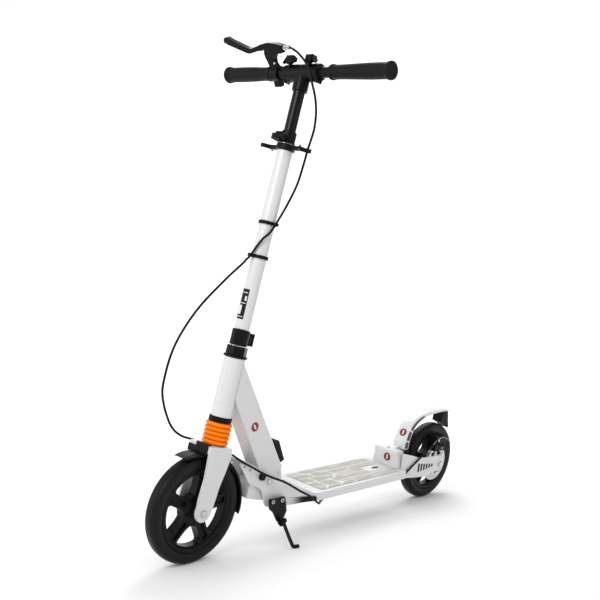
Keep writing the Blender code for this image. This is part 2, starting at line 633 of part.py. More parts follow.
def make_column():
    put(sleeve("steerer", 0.0119, 0.0150, 0.3022, 0.4970, 28), "steerer_tube", "steering", "steel", STEERING)
    cap = [(0.0155, 0.4381), (0.0252, 0.4381), (0.0260, 0.4392), (0.0260, 0.4415), (0.0235, 0.4440),
           (0.0155, 0.4440)]
    put(lathe("cap", cap, 28), "headset_cap", "steering", "black", STEERING)
    flats = arc(0, 0, 0.0231, 30, 330, 5)
    nut = prism("nut", flats, 0.4444, 0.4620, "z")
    cut(nut, rod("bore", 0.0155, 0.42, 0.47, 28))
    put(nut, "headset_nut", "steering", "black", STEERING)
    shape = [(0.0100, 0.0100), (0.0100, -0.0100), (0.0340, -0.0100), (0.0340, 0.0100)]
    clamp = rod("clamp", 0.0193, 0.4640, 0.4975, 32)
    join(clamp, prism("ears", rounded(shape, 0.003, 2), 0.4665, 0.4935, "z"))
    cut(clamp, rod("bore", 0.0155, 0.44, 0.51, 28))
    cut(clamp, box("split", 0.0100, 0.0600, -0.0012, 0.0012, 0.4400, 0.5100))
    for s in (0.4725, 0.4875):
        cut(clamp, rod("bolt", 0.0026, -0.0300, 0.0300, 12, "y", (0.0275, 0, s)))
    put(clamp, "stem_clamp", "steering", "black", STEERING)
    put(sleeve("stem", 0.0136, 0.0165, 0.4985, STEM_TOP, 32), "stem_tube", "steering", "white", STEERING)
    rings = (("cable_ring_upper", 0.7270, (0.0020, -0.0223)),
             ("cable_ring_lower", 0.6540, (-0.0221, 0.0039)))
    for name, s, spot in rings:
        band = sleeve("band", 0.0169, 0.0196, s - 0.0036, s + 0.0036, 24)
        join(band, rod("eye", 0.0070, s - 0.0032, s + 0.0032, 12, "z", (spot[0], spot[1], 0)))
        cut(band, rod("bore", 0.0169, s - 0.01, s + 0.01, 24))
        cut(band, rod("hole", 0.0052, s - 0.01, s + 0.01, 10, "z", (spot[0], spot[1], 0)))
        put(band, name, "steering", "black", STEERING)


def make_top_clamp():
    ring = sleeve("ring", 0.0135, 0.0205, 0.8845, 0.8970, 24)
    for sign in (-1, 1):
        join(ring, box("arm", -0.0045, 0.0045, sign * 0.0185, sign * 0.0460, 0.8860, 0.8950))
        hook = arc(0, sign * 0.0640, 0.0195, -sign * 18, -sign * 162, 8)
        hook += arc(0, sign * 0.0640, 0.0175, -sign * 162, -sign * 18, 8)
        join(ring, prism("hook", hook, 0.8860, 0.8950, "z"))
    cut(ring, rod("bore", 0.0135, 0.87, 0.91, 24))
    put(ring, "grip_clip", "steering", "black", STEERING)
    profile = [(0.0133, 0.8974), (0.0185, 0.8974), (0.0185, 0.9005), (0.0165, 0.9015), (0.0165, 0.9230),
               (0.0155, 0.9250), (0.0133, 0.9250)]
    collar = lathe("collar", profile, 24)
    ears = rounded([(-0.0140, -0.0080), (-0.0140, 0.0080), (-0.0330, 0.0080), (-0.0330, -0.0080)], 0.003, 2)
    join(collar, prism("ears", ears, 0.9010, 0.9170, "z"))
    cut(collar, rod("bore", 0.0133, 0.89, 0.93, 24))
    cut(collar, box("split", -0.0500, -0.0100, -0.0011, 0.0011, 0.8900, 0.9300))
    bolt = rod("bolt", 0.0024, -0.0080, 0.0105, 10, "y", (-0.0260, 0, 0.9080))
    join(bolt, rod("knob", 0.0062, -0.0150, -0.0075, 12, "y", (-0.0260, 0, 0.9080)))
    join(collar, bolt)
    put(collar, "height_clamp", "steering", "black", STEERING)
    shape = arc(-0.0260, 0.0165, 0.0050, 60, 300, 8)
    shape += [(-0.0180, 0.0150), (-0.0110, 0.0184), (0.0060, 0.0205), (0.0220, 0.0170), (0.0235, 0.0200),
              (0.0080, 0.0250), (-0.0140, 0.0238)]
    handle = prism("handle", shape, 0.9015, 0.9145, "z")
    put(handle, "clamp_lever", "clamp_lever_joint", "black", STEERING)


def blade_outline():
    front = [(-0.0370, 0.2515), (-0.0330, 0.1850), (-0.0355, 0.1430)]
    foot = arc(FRONT_AXLE[0], FRONT_AXLE[1], 0.0193, 170, 345, 8)
    back = [(0.0078, 0.1280), (0.0118, 0.1695), (0.0197, 0.2026), (0.0258, 0.2354), (0.0225, 0.2515)]
    return front + foot + back


def make_fork():
    left = prism("left", blade_outline(), -0.0333, -0.0273)
    right = prism("right", blade_outline(), 0.0273, 0.0333)
    crown = prism("crown", [(-0.0370, 0.2365), (0.0225, 0.2365), (0.0225, 0.2520),
                            (-0.0370, 0.2520)], -0.0333, 0.0333)
    join(crown, left, right)
    join(crown, rod("stanchion", 0.0115, 0.2450, 0.4200, 32))
    cut(crown, rod("bore", 0.0044, -0.05, 0.05, 16, "y", (FRONT_AXLE[0], 0, FRONT_AXLE[1])))
    put(crown, "fork", "suspension", "white", STEERING)
    ends = [(0, -0.0375), (0.0062, -0.0375), (0.0075, -0.0365), (0.0075, -0.0337), (0.0040, -0.0337),
            (0.0040, 0.0337), (0.0075, 0.0337), (0.0075, 0.0365), (0.0062, 0.0375), (0, 0.0375)]
    axle = lathe("axle", ends, 16, "y", (FRONT_AXLE[0], 0, FRONT_AXLE[1]))
    put(axle, "front_axle", "suspension", "steel", STEERING)
    coil = tube("coil", helix(0.0138, 0.2542, 0.3002, 4, 12), 0.0016, 5)
    put(coil, "suspension_spring", "suspension", "steel", STEERING)
    outer = []
    for k in range(6):
        s = 0.2566 + 0.0080 * k
        outer += [(0.0235, s - 0.0034), (0.0275, s), (0.0275, s + 0.0016)]
    outer[0] = (0.0240, 0.2531)
    outer += [(0.0240, 0.3003)]
    inner = [(0.0208, 0.3003), (0.0208, 0.2531)]
    put(lathe("boot", outer + inner, 24), "bellows", "suspension", "orange", STEERING)


# Handlebar

def make_handlebar():
    put(sleeve("upper", 0.0108, 0.01285, 0.6800, 1.0370, 24), "upper_tube", "height", "black", STEERING)
    tee = rod("tee", 0.0193, -0.0400, 0.0400, 24, "y", (0, 0, BAR_S))
    join(tee, rod("neck", 0.0168, 1.0130, BAR_S, 24))
    for sign in (-1, 1):
        join(tee, box("post", -0.0205, -0.0135, sign * 0.0255, sign * 0.0305, BAR_S + 0.0050,
                      BAR_S + 0.0247))
        lug = [(sign * 0.0300, BAR_S - 0.0160), (sign * 0.0400, BAR_S - 0.0130)]
        lug += [(sign * 0.0420, BAR_S - 0.0160), (sign * 0.0470, BAR_S - 0.0140)]
        lug += [(sign * 0.0504, BAR_S - 0.0170), (sign * 0.0500, BAR_S - 0.0200),
                (sign * 0.0475, BAR_S - 0.0222)]
        lug += [(sign * 0.0440, BAR_S - 0.0222), (sign * 0.0300, BAR_S - 0.0190)]
        join(tee, prism("lug", lug, -0.0040, 0.0040, "x"))
        cut(tee, rod("eye", 0.0019, -0.02, 0.02, 10, "x", (0, sign * HINGE_Y, BAR_S - HINGE_DROP)))
        cut(tee, rod("eye", 0.0018, -0.03, 0.0, 10, "x", (0, sign * 0.0280, BAR_S + 0.0215)))
    cut(tee, rod("bore", 0.0122, -0.06, 0.06, 20, "y", (0, 0, BAR_S)))
    cut(tee, rod("bore", 0.0133, 1.0, 1.0380, 24))
    put(tee, "t_sleeve", "height", "black", STEERING)
    for side, sign in (("left", -1), ("right", 1)):
        make_latch(side, sign)
        make_bar(side, sign)


def make_latch(side, sign):
    """Over-centre latch on top of the sleeve that locks one half of the bar."""
    top = BAR_S + 0.0300
    block = box("block", -0.0255, -0.0085, sign * 0.0195, sign * 0.0365, BAR_S + 0.0130, top)
    cut(block, box("slot", -0.0218, -0.0122, sign * 0.0222, sign * 0.0338, BAR_S, BAR_S + 0.0261))
    join(block, rod("pin", 0.0015, -0.0240, -0.0100, 10, "x", (0, sign * 0.0280, BAR_S + 0.0215)))
    dome = [(0, top - 0.002), (0.0055, top - 0.002), (0.0055, top + 0.0015), (0.0030, top + 0.0030),
            (0, top + 0.0030)]
    join(block, lathe("dome", dome, 14, "z", (-0.0170, sign * 0.0250, 0)))
    plate = [(sign * 0.0330, top + 0.0010), (sign * 0.0365, top + 0.0015), (sign * 0.0468, BAR_S + 0.0140),
             (sign * 0.0445, BAR_S + 0.0130), (sign * 0.0360, BAR_S + 0.0245),
             (sign * 0.0330, BAR_S + 0.0270)]
    join(block, prism("plate", plate, -0.0240, -0.0100, "x"))
    cut(block, rod("clearance", 0.0226, -0.0600, 0.0600, 24, "y", (0, 0, BAR_S)))
    put(block, "latch_" + side, "latch_" + side + "_joint", "black", STEERING)


def make_bar(side, sign):
    owner = "bar_" + side + "_joint"
    profile = [(0.0098, 0.0408), (0.0185, 0.0408), (0.0185, 0.0480), (0.0165, 0.0500), (BAR_R, 0.0510),
               (BAR_R, 0.2330), (0.0098, 0.2330)]
    bar = lathe("bar", [(r, sign * h) for r, h in profile], 24, "y", (0, 0, BAR_S))
    cut(bar, box("notch", -0.0050, 0.0050, sign * 0.0300, sign * 0.0520, BAR_S - 0.0300, BAR_S - 0.0122))
    for a0, a1 in ((-0.0090, -0.0054), (0.0054, 0.0090)):
        eye = rod("eye", 0.0042, a0, a1, 12, "x", (0, sign * HINGE_Y, BAR_S - HINGE_DROP))
        join(bar, eye)
    join(bar, rod("pin", 0.0015, -0.0085, 0.0085, 10, "x", (0, sign * HINGE_Y, BAR_S - HINGE_DROP)))
    put(bar, "bar_" + side, owner, "black", STEERING)
    start = 0.0804 if side == "left" else 0.0940
    shape = [(0.0119, start), (0.0160, start), (0.0165, start + 0.006), (0.0150, start + 0.010),
             (0.0146, start + 0.030),
             (0.0158, 0.1550), (0.0158, 0.1900), (0.0146, 0.2200), (0.0150, 0.2290), (0.0165, 0.2310),
             (0.0165, 0.2340), (0.0140, BAR_END), (0.0060, BAR_END), (0.0060, 0.2334), (0.0119, 0.2334)]
    grip = lathe("grip", [(r, sign * h) for r, h in shape], 20, "y", (0, 0, BAR_S))
    put(grip, "grip_" + side, owner, "rubber", STEERING)


def make_brake_lever():
    """The perch on the right bar and its lever. In the lever plane y is outward, z away from the bar."""
    hood = [(0.0445, 0.0601), (0.0600, 0.0645), (0.0816, 0.0677), (0.0975, 0.0672), (0.0985, 0.0545),
            (0.1010, 0.0470), (0.0992, 0.0360), (0.0945, 0.0260), (0.0920, 0.0180), (0.0920, 0.0),
            (0.0700, 0.0), (0.0720, 0.0150), (0.0775, 0.0230), (0.0775, 0.0330), (0.0730, 0.0400),
            (0.0640, 0.0432),
            (0.0498, 0.0437), (0.0490, 0.0500)]
    perch = prism("perch", hood, -0.0075, 0.0075, "x")
    join(perch, rod("clamp", 0.0165, 0.0680, 0.0920, 24, "y"))
    tail = [(-0.0070, -0.0100), (-0.0070, -0.0280), (0.0080, -0.0280), (0.0080, -0.0100)]
    join(perch, prism("tail", rounded(tail, 0.003, 2), 0.0720, 0.0880, "y"))
    cut(perch, rod("bore", 0.0119, 0.0600, 0.1000, 24, "y"))
    slot = [(0.1060, 0.0480), (0.0850, 0.0480), (0.0805, 0.0530), (0.0805, 0.0605), (0.0850, 0.0640),
            (0.1060, 0.0640)]
    cut(perch, prism("slot", slot, -0.0036, 0.0036, "x"))
    join(perch, rod("pivot", 0.0022, -0.0060, 0.0060, 12, "x", (0, 0.0885, 0.0565)))
    put(perch, "brake_perch", "bar_right_joint", "black", LEVER_PLANE)
    blade = [(0.1010, 0.0655), (0.1070, 0.0655), (0.1209, 0.0619), (0.1393, 0.0573), (0.1530, 0.0598),
             (0.1815, 0.0712), (0.2000, 0.0784), (0.2112, 0.0850), (0.2190, 0.0850), (0.2244, 0.0800),
             (0.2230, 0.0735), (0.2097, 0.0671), (0.1900, 0.0600), (0.1592, 0.0489), (0.1485, 0.0461),
             (0.1364, 0.0481), (0.1184, 0.0512), (0.1078, 0.0510), (0.1010, 0.0545)]
    lever = prism("lever", blade, -0.0062, 0.0062, "x")
    root = arc(0.0885, 0.0565, 0.0058, 70, 290, 8) + [(0.1050, 0.0530), (0.1050, 0.0630)]
    join(lever, prism("root", root, -0.0031, 0.0031, "x"))
    cut(lever, rod("bore", 0.0025, -0.02, 0.02, 12, "x", (0, 0.0885, 0.0565)))
    put(lever, "brake_lever", "brake_lever_joint", "black", LEVER_PLANE)


# Brake cable, in four lengths that meet end to end

BAR_CABLE = [(-0.0313, 0.0285, 1.0982), (-0.0330, 0.0150, 1.0935), (-0.0335, -0.0084, 1.0810),
             (-0.0310, -0.0360, 1.0571),
             (-0.0230, -0.0565, 1.0187), (-0.0150, -0.0670, 0.9899), (-0.0066, -0.0700, 0.9618),
             (0.0045, -0.0640, 0.9370)]
STEM_CABLE = [(0.0052, -0.0634, 0.9355), (0.0105, -0.0572, 0.9190), (0.0167, -0.0482, 0.8970),
              (0.0198, -0.0440, 0.8765),
              (0.0212, -0.0412, 0.8550), (0.0206, -0.0378, 0.8190), (0.0125, -0.0310, 0.7720),
              (0.0020, -0.0223, 0.7270),
              (-0.0085, -0.0207, 0.7050), (-0.0182, -0.0140, 0.6890), (-0.0221, 0.0039, 0.6540),
              (-0.0236, 0.0080, 0.6460)]
LOOP_CABLE = [(-0.0244, 0.0092, 0.6448), (-0.0290, 0.0145, 0.6320), (-0.0536, 0.0280, 0.5902),
              (-0.1016, 0.0360, 0.5168),
              (-0.1312, 0.0420, 0.4384), (-0.1341, 0.0460, 0.3648), (-0.1227, 0.0480, 0.3240),
              (-0.0886, 0.0490, 0.2761),
              (-0.0540, 0.0500, 0.2546), (-0.0103, 0.0490, 0.2464), (0.0220, 0.0400, 0.2410),
              (0.0420, 0.0200, 0.2370),
              (0.0531, -0.0060, 0.2322)]
DECK_CABLE = [(-0.3468, -0.0075, 0.2194), (-0.3450, -0.0180, 0.2165), (-0.3430, -0.0290, 0.2135),
              (-0.3363, -0.0370, 0.2085),
              (-0.3120, -0.0395, 0.1960), (-0.2878, -0.0430, 0.1824), (-0.2612, -0.0490, 0.1701),
              (-0.2344, -0.0550, 0.1599), (-0.2104, -0.0615, 0.1478), (-0.1844, -0.0670, 0.1326),
              (-0.1700, -0.0695, 0.1255), (-0.1595, -0.0705, 0.1202), (-0.1500, -0.0715, 0.1145),
              (-0.1380, -0.0722, 0.1060), (-0.1250, -0.0722, 0.0968), (-0.1150, -0.0690, 0.0922),
              (-0.0950, -0.0580, 0.0925),
              (-0.0600, -0.0515, 0.0945), (0.0500, -0.0515, 0.0945), (0.2000, -0.0515, 0.0942),
              (0.2262, -0.0515, 0.0955),
              (0.2400, -0.0515, 0.1030), (0.2700, -0.0515, 0.1210), (0.3100, -0.0515, 0.1430),
              (0.3380, -0.0515, 0.1570),
              (0.3540, -0.0510, 0.1650)]


def make_cable():
    for name, owner, points, frame in (
        ("brake_cable_upper", "height", BAR_CABLE, STEERING),
        ("brake_cable_stem", "steering", STEM_CABLE, STEERING),
        ("brake_cable_loop", "front_frame", LOOP_CABLE, STEERING),
        ("brake_cable_deck", "scooter", DECK_CABLE, UPRIGHT),
    ):
        put(tube("cable", smooth_path(points, 2), 0.0025, 6), name, owner, "black", frame)


def settle_on_floor():
    """Leans the scooter onto its stand, then puts the middle of its base at the origin."""
    root = BODIES["scooter"][0]
    root.rotation_euler = (LEAN, 0, 0)
    bpy.context.view_layer.update()
    lows = [1e9] * 3
    highs = [-1e9] * 3
    for thing in bpy.context.scene.objects:
        if thing.type != "MESH":
            continue
        for vert in thing.data.vertices:
            spot = thing.matrix_world @ vert.co
            lows = [min(a, b) for a, b in zip(lows, spot)]
            highs = [max(a, b) for a, b in zip(highs, spot)]
    root.location = (-(lows[0] + highs[0]) / 2, -(lows[1] + highs[1]) / 2, -lows[2])
    bpy.context.view_layer.update()


def build():
    clear_scene()
    make_bodies()
    make_deck()
    make_grip_sheet()
    make_fold_brackets()
    make_fold_bolts()
    make_kickstand()
    make_rear_plates()
    make_fender_bracket()
    make_cable_boot()
    make_caliper()
    make_wheel("rear", "rear_wheel_joint", REAR_AXLE, REAR_RADIUS, UPRIGHT, 0.0810, 0.0432)
    make_brake_disc()
    make_wheel("front", "front_wheel_joint", FRONT_AXLE, FRONT_RADIUS, STEERING, 0.0900, 0.0269)
    make_front_fender()
    make_rear_fender()
    make_frame()
    make_column()
    make_top_clamp()
    make_fork()
    make_handlebar()
    make_brake_lever()
    make_cable()
    settle_on_floor()


build()
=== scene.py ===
"""Kick scooter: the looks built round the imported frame. Metres, +Z up, forward -X, rider's left -Y."""

import json
import math

import bmesh
import bpy
from mathutils import Matrix, Vector

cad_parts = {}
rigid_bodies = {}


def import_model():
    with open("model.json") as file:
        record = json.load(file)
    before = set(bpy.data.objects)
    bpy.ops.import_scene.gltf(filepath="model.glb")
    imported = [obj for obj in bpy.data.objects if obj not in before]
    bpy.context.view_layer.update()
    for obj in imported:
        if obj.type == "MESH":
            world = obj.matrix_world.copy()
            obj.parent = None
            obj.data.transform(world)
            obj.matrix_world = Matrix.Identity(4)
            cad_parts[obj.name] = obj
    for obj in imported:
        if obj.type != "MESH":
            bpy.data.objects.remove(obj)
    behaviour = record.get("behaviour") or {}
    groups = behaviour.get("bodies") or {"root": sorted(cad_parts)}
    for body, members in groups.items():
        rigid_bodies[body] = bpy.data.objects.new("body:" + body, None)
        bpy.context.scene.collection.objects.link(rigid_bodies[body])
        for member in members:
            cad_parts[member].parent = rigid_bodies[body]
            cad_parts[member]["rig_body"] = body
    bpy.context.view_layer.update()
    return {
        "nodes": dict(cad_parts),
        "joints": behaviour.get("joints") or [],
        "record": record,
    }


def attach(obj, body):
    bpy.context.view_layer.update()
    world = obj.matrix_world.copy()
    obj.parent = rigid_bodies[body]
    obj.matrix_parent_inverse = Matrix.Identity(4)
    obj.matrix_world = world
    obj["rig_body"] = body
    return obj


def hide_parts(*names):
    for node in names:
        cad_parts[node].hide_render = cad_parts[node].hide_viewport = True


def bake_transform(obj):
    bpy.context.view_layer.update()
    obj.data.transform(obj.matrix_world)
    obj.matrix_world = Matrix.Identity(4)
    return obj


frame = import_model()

JOINTS = {joint["name"]: joint for joint in frame["joints"]}
SLOTS = {part["node"]: part["material_slot"] for part in frame["record"]["subparts"]}

# The frames of part.py. Steering pieces use a rearward, y to the right, s up along the steering axis.
LEAN = Matrix.Rotation(math.radians(9.4), 4, "X")
FRONT_AXLE = (-0.0155, 0.1140)
REAR_AXLE = (0.4052, 0.105)
FENDER_HINGE = (0.2320, 0.1500)
FOLD = (-0.2487, 0.1547)
BAR_S = 1.0536
HEAD_X = -0.4391
HEAD_TILT = 0.1708
LEVER_TILT = math.radians(55)
AXLE_SPOT = Vector(JOINTS["rear_wheel_spin"]["pos_m"])
ROOT = Matrix.Translation(AXLE_SPOT - LEAN @ Vector((REAR_AXLE[0], 0, REAR_AXLE[1]))) @ LEAN
STEERING = ROOT @ Matrix.Translation((HEAD_X, 0, 0)) @ Matrix.Rotation(HEAD_TILT, 4, "Y")
LEVER_PLANE = STEERING @ Matrix.Translation((0, 0, BAR_S)) @ Matrix.Rotation(LEVER_TILT - math.pi / 2, 4, "Y")

# The tyre's radius, the radius that it sits on and half the hub's width, for each wheel.
TYRE_RADIUS = {"front": 0.1150, "rear": 0.1050}
RIM_SEAT = {"front": 0.0900, "rear": 0.0810}
HUB_HALF = {"front": 0.0269, "rear": 0.0432}
CABLE_RADIUS = 0.0025
SIDES = ((-1, "left"), (1, "right"))
SPOKES = 5


# Materials

def node(tree, kind, inputs=None, **settings):
    """Adds a shader node. An input is a number, a colour or another node's output."""
    made = tree.nodes.new("ShaderNode" + kind)
    for key, value in settings.items():
        setattr(made, key, value)
    for key, value in (inputs or {}).items():
        socket = made.inputs[key]
        if isinstance(value, bpy.types.NodeSocket):
            tree.links.new(value, socket)
        else:
            socket.default_value = value
    return made


def maths(tree, operation, *values):
    return node(tree, "Math", dict(enumerate(values)), operation=operation).outputs[0]


def span(tree, value, low, high, at_low, at_high, **settings):
    """Carries a value from one range over to another, and holds it at the ends."""
    limits = {"Value": value, "From Min": low, "From Max": high, "To Min": at_low, "To Max": at_high}
    return node(tree, "MapRange", limits, **settings).outputs["Result"]


def finish(name, base, rough, metal=0.0, coat=0.0, grain=900.0, bump=0.05, mottle=0.06, streak=None,
           specular=0.5):
    """A surface whose colour and gloss drift a little over it, with a fine grain in its normal."""
    made = bpy.data.materials.new(name)
    made.use_nodes = True
    tree = made.node_tree
    shader = tree.nodes["Principled BSDF"]
    shader.inputs["Metallic"].default_value = metal
    shader.inputs["Coat Weight"].default_value = coat
    shader.inputs["Coat Roughness"].default_value = 0.12
    shader.inputs["Specular IOR Level"].default_value = specular
    place = node(tree, "TexCoord").outputs["Object"]
    if streak:
        place = node(tree, "Mapping", {"Vector": place, "Scale": streak}).outputs["Vector"]
    drift = node(tree, "TexNoise", {"Vector": place, "Scale": 26.0, "Detail": 5.0,
                                    "Roughness": 0.6}).outputs["Fac"]
    fine = node(tree, "TexNoise", {"Vector": place, "Scale": grain, "Detail": 3.0}).outputs["Fac"]
    low = [c * (1 - mottle) for c in base] + [1]
    high = [min(c * (1 + mottle), 1) for c in base] + [1]
    ramp = node(tree, "Mix", {"Factor": drift}, data_type="RGBA")
    ramp.inputs["A"].default_value = low
    ramp.inputs["B"].default_value = high
    tree.links.new(ramp.outputs["Result"], shader.inputs["Base Color"])
    gloss = span(tree, drift, 0.3, 0.7, rough * 0.86, rough * 1.16)
    tree.links.new(gloss, shader.inputs["Roughness"])
    relief = node(tree, "Bump", {"Height": fine, "Strength": bump, "Distance": 0.0004})
    tree.links.new(relief.outputs["Normal"], shader.inputs["Normal"])
    return made


def over_colour(made, factor, colour):
    """Lays one plain colour over a finish wherever the factor is 1."""
    tree = made.node_tree
    base = tree.nodes["Principled BSDF"].inputs["Base Color"]
    mix = node(tree, "Mix", {"Factor": factor}, data_type="RGBA")
    tree.links.new(base.links[0].from_socket, mix.inputs["A"])
    mix.inputs["B"].default_value = colour
    tree.links.new(mix.outputs["Result"], base)


DEEP_BLACK = (0.0045, 0.0045, 0.0050)
RUBBER_BLACK = (0.0070, 0.0070, 0.0075)
WHITE = finish("satin_white_paint", (0.645, 0.645, 0.643), 0.30, coat=0.20, grain=1400.0, bump=0.06,
               mottle=0.015)
WHITE_PLASTIC = finish("moulded_white_plastic", (0.70, 0.70, 0.698), 0.26, coat=0.15, grain=700.0, bump=0.04,
                       mottle=0.015)
BLACK_ALLOY = finish("black_anodised_alloy", DEEP_BLACK, 0.28, grain=1800.0, bump=0.10, mottle=0.25,
                     specular=0.12)
BLACK_STEEL = finish("black_powder_coat", DEEP_BLACK, 0.34, grain=2200.0, bump=0.20, mottle=0.25,
                     specular=0.12)
BLACK_PLASTIC = finish("moulded_black_plastic", (0.0050, 0.0050, 0.0055), 0.34, grain=1600.0, bump=0.14,
                       mottle=0.20, specular=0.12)
GLOSS_BLACK = finish("gloss_black_paint", (0.0040, 0.0040, 0.0045), 0.16, coat=0.10, grain=700.0, bump=0.03,
                     mottle=0.20, specular=0.14)
TYRE = finish("cast_polyurethane_tyre", RUBBER_BLACK, 0.38, grain=1100.0, bump=0.16, mottle=0.30,
              specular=0.14)
RUBBER = finish("moulded_rubber", RUBBER_BLACK, 0.48, grain=1500.0, bump=0.30, mottle=0.25, specular=0.12)
CABLE = finish("cable_housing", DEEP_BLACK, 0.30, grain=1300.0, bump=0.06, mottle=0.25, specular=0.12)
STEEL = finish("bright_steel", (0.58, 0.58, 0.59), 0.24, metal=1.0, grain=800.0, bump=0.12, mottle=0.10)
BRUSHED = finish("brushed_steel_disc", (0.55, 0.55, 0.56), 0.30, metal=1.0, grain=600.0, bump=0.20,
                 mottle=0.12, streak=(1, 6, 1))
ORANGE = finish("orange_rubber", (1.00, 0.215, 0.0), 0.38, grain=1100.0, bump=0.12, mottle=0.05,
                specular=0.15)
GREY_PLASTIC = finish("dark_grey_plastic", (0.040, 0.041, 0.043), 0.45, grain=1500.0, bump=0.14, mottle=0.15)
RED = finish("dark_red_vinyl", (0.21, 0.008, 0.012), 0.35, grain=900.0, bump=0.04, mottle=0.08)
PALE_PRINT = (0.72, 0.715, 0.70, 1)

# What a piece is painted where nothing else is said, by its CAD material slot.
BY_SLOT = {"white_alloy": WHITE, "black_alloy": BLACK_ALLOY, "black_steel": BLACK_STEEL, "steel": STEEL,
           "rubber": RUBBER, "black_plastic": BLACK_PLASTIC}


# Mesh code

def mesh_object(name, verts, faces):
    mesh = bpy.data.meshes.new(name)
    mesh.from_pydata([tuple(v) for v in verts], [], faces)
    work = bmesh.new()
    work.from_mesh(mesh)
    bmesh.ops.recalc_face_normals(work, faces=work.faces)
    work.to_mesh(mesh)
    work.free()
    made = bpy.data.objects.new(name, mesh)
    bpy.context.scene.collection.objects.link(made)
    return made


def bake_modifiers(thing):
    """Applies every modifier on a piece to its mesh."""
    bpy.context.view_layer.update()
    graph = bpy.context.evaluated_depsgraph_get()
    result = bpy.data.meshes.new_from_object(thing.evaluated_get(graph))
    thing.modifiers.clear()
    thing.data = result
    return thing


def combine(target, tools, operation):
    for tool in tools:
        step = target.modifiers.new("step", "BOOLEAN")
        step.object = tool
        step.operation = operation
        step.solver = "EXACT"
        bake_modifiers(target)
        bpy.data.objects.remove(tool, do_unlink=True)
    return target


def cut(target, *tools):
    return combine(target, tools, "DIFFERENCE")


def join(target, *tools):
    return combine(target, tools, "UNION")


def merge(target, *others):
    """Puts several closed meshes that don't touch into one piece."""
    work = bmesh.new()
    for thing in (target,) + others:
        work.from_mesh(thing.data)
    work.to_mesh(target.data)
    work.free()
    for thing in others:
        bpy.data.objects.remove(thing, do_unlink=True)
    return target


def ring_points(count):
    return [(math.cos(2 * math.pi * i / count), math.sin(2 * math.pi * i / count)) for i in range(count)]


# What each axis makes of a plane point (u, v) at height w.
AXES = {"z": lambda u, v, w: (u, v, w), "y": lambda u, v, w: (u, w, v), "x": lambda u, v, w: (w, u, v)}


def lathe(name, profile, segments, axis="z", centre=(0, 0, 0)):
    """Turns a closed (radius, height) profile about an axis. One with both ends at radius 0 is capped."""
    place = AXES[axis]
    capped = profile[0][0] == 0
    inner = profile[1:-1] if capped else profile
    turns = ring_points(segments)
    verts = [Vector(place(r * c, r * s, h)) + Vector(centre) for r, h in inner for c, s in turns]
    faces = []
    rows = len(inner)
    for row in range(rows - 1 if capped else rows):
        a = row * segments
        b = (row + 1) % rows * segments
        for i in range(segments):
            j = (i + 1) % segments
            faces.append((a + i, a + j, b + j, b + i))
    if capped:
        faces.append(tuple(range(segments)))
        faces.append(tuple(range((rows - 1) * segments, rows * segments)))
    return mesh_object(name, verts, faces)


def rod(name, radius, h0, h1, segments=32, axis="z", centre=(0, 0, 0)):
    return lathe(name, [(0, h0), (radius, h0), (radius, h1), (0, h1)], segments, axis, centre)


def sleeve(name, inner, outer, h0, h1, segments=64, axis="z", centre=(0, 0, 0)):
    return lathe(name, [(outer, h0), (outer, h1), (inner, h1), (inner, h0)], segments, axis, centre)


def mirrored(half):
    """A profile's upper half followed by its reflection below, without doubling a point at height 0."""
    return half + [(r, -h) for r, h in reversed(half) if h > 0]


def prism(name, outline, w0, w1, axis="y"):
    """A straight solid of a plane outline between two places along an axis."""
    place = AXES[axis]
    count = len(outline)
    verts = [place(u, v, w) for w in (w0, w1) for u, v in outline]
    faces = [tuple(range(count)), tuple(range(count, 2 * count))]
    faces += [(i, (i + 1) % count, count + (i + 1) % count, count + i) for i in range(count)]
    return mesh_object(name, verts, faces)


def rounded(points, radius, steps=5):
    """A closed outline with each corner turned into a short curve."""
    out = []
    count = len(points)
    for i in range(count):
        here = Vector(points[i])
        before = Vector(points[i - 1]) - here
        after = Vector(points[(i + 1) % count]) - here
        reach = min(radius, before.length * 0.45, after.length * 0.45)
        a = here + before.normalized() * reach
        b = here + after.normalized() * reach
        for k in range(steps + 1):
            t = k / steps
            out.append(tuple(a * (1 - t) ** 2 + here * 2 * t * (1 - t) + b * t * t))
    return out


def arc(cx, cy, radius, start, stop, steps):
    """Points round part of a circle. The angles are in degrees."""
    turns = [math.radians(start + (stop - start) * k / steps) for k in range(steps + 1)]
    return [(cx + radius * math.cos(t), cy + radius * math.sin(t)) for t in turns]


def loft(name, sections):
    """A solid through closed sections that all have the same number of points."""
    count = len(sections[0])
    verts = [p for section in sections for p in section]
    faces = []
    for row in range(len(sections) - 1):
        a = row * count
        b = a + count
        faces += [(a + i, a + (i + 1) % count, b + (i + 1) % count, b + i) for i in range(count)]
    faces.append(tuple(range(count)))
    faces.append(tuple(range(len(verts) - count, len(verts))))
    return mesh_object(name, verts, faces)


def smooth_path(points, per):
    """A Catmull-Rom curve through the points, with a few steps to each span."""
    pts = [Vector(p) for p in points]
    pts = [pts[0] * 2 - pts[1]] + pts + [pts[-1] * 2 - pts[-2]]
    out = []
    for i in range(1, len(pts) - 2):
        p0, p1, p2, p3 = pts[i - 1 : i + 3]
        for k in range(per):
            t = k / per
            bend = (p0 * 2 - p1 * 5 + p2 * 4 - p3) * t * t
            twist = (p1 * 3 - p0 - p2 * 3 + p3) * t ** 3
            out.append((p1 * 2 + (p2 - p0) * t + bend + twist) * 0.5)
    out.append(pts[-2])
    return out


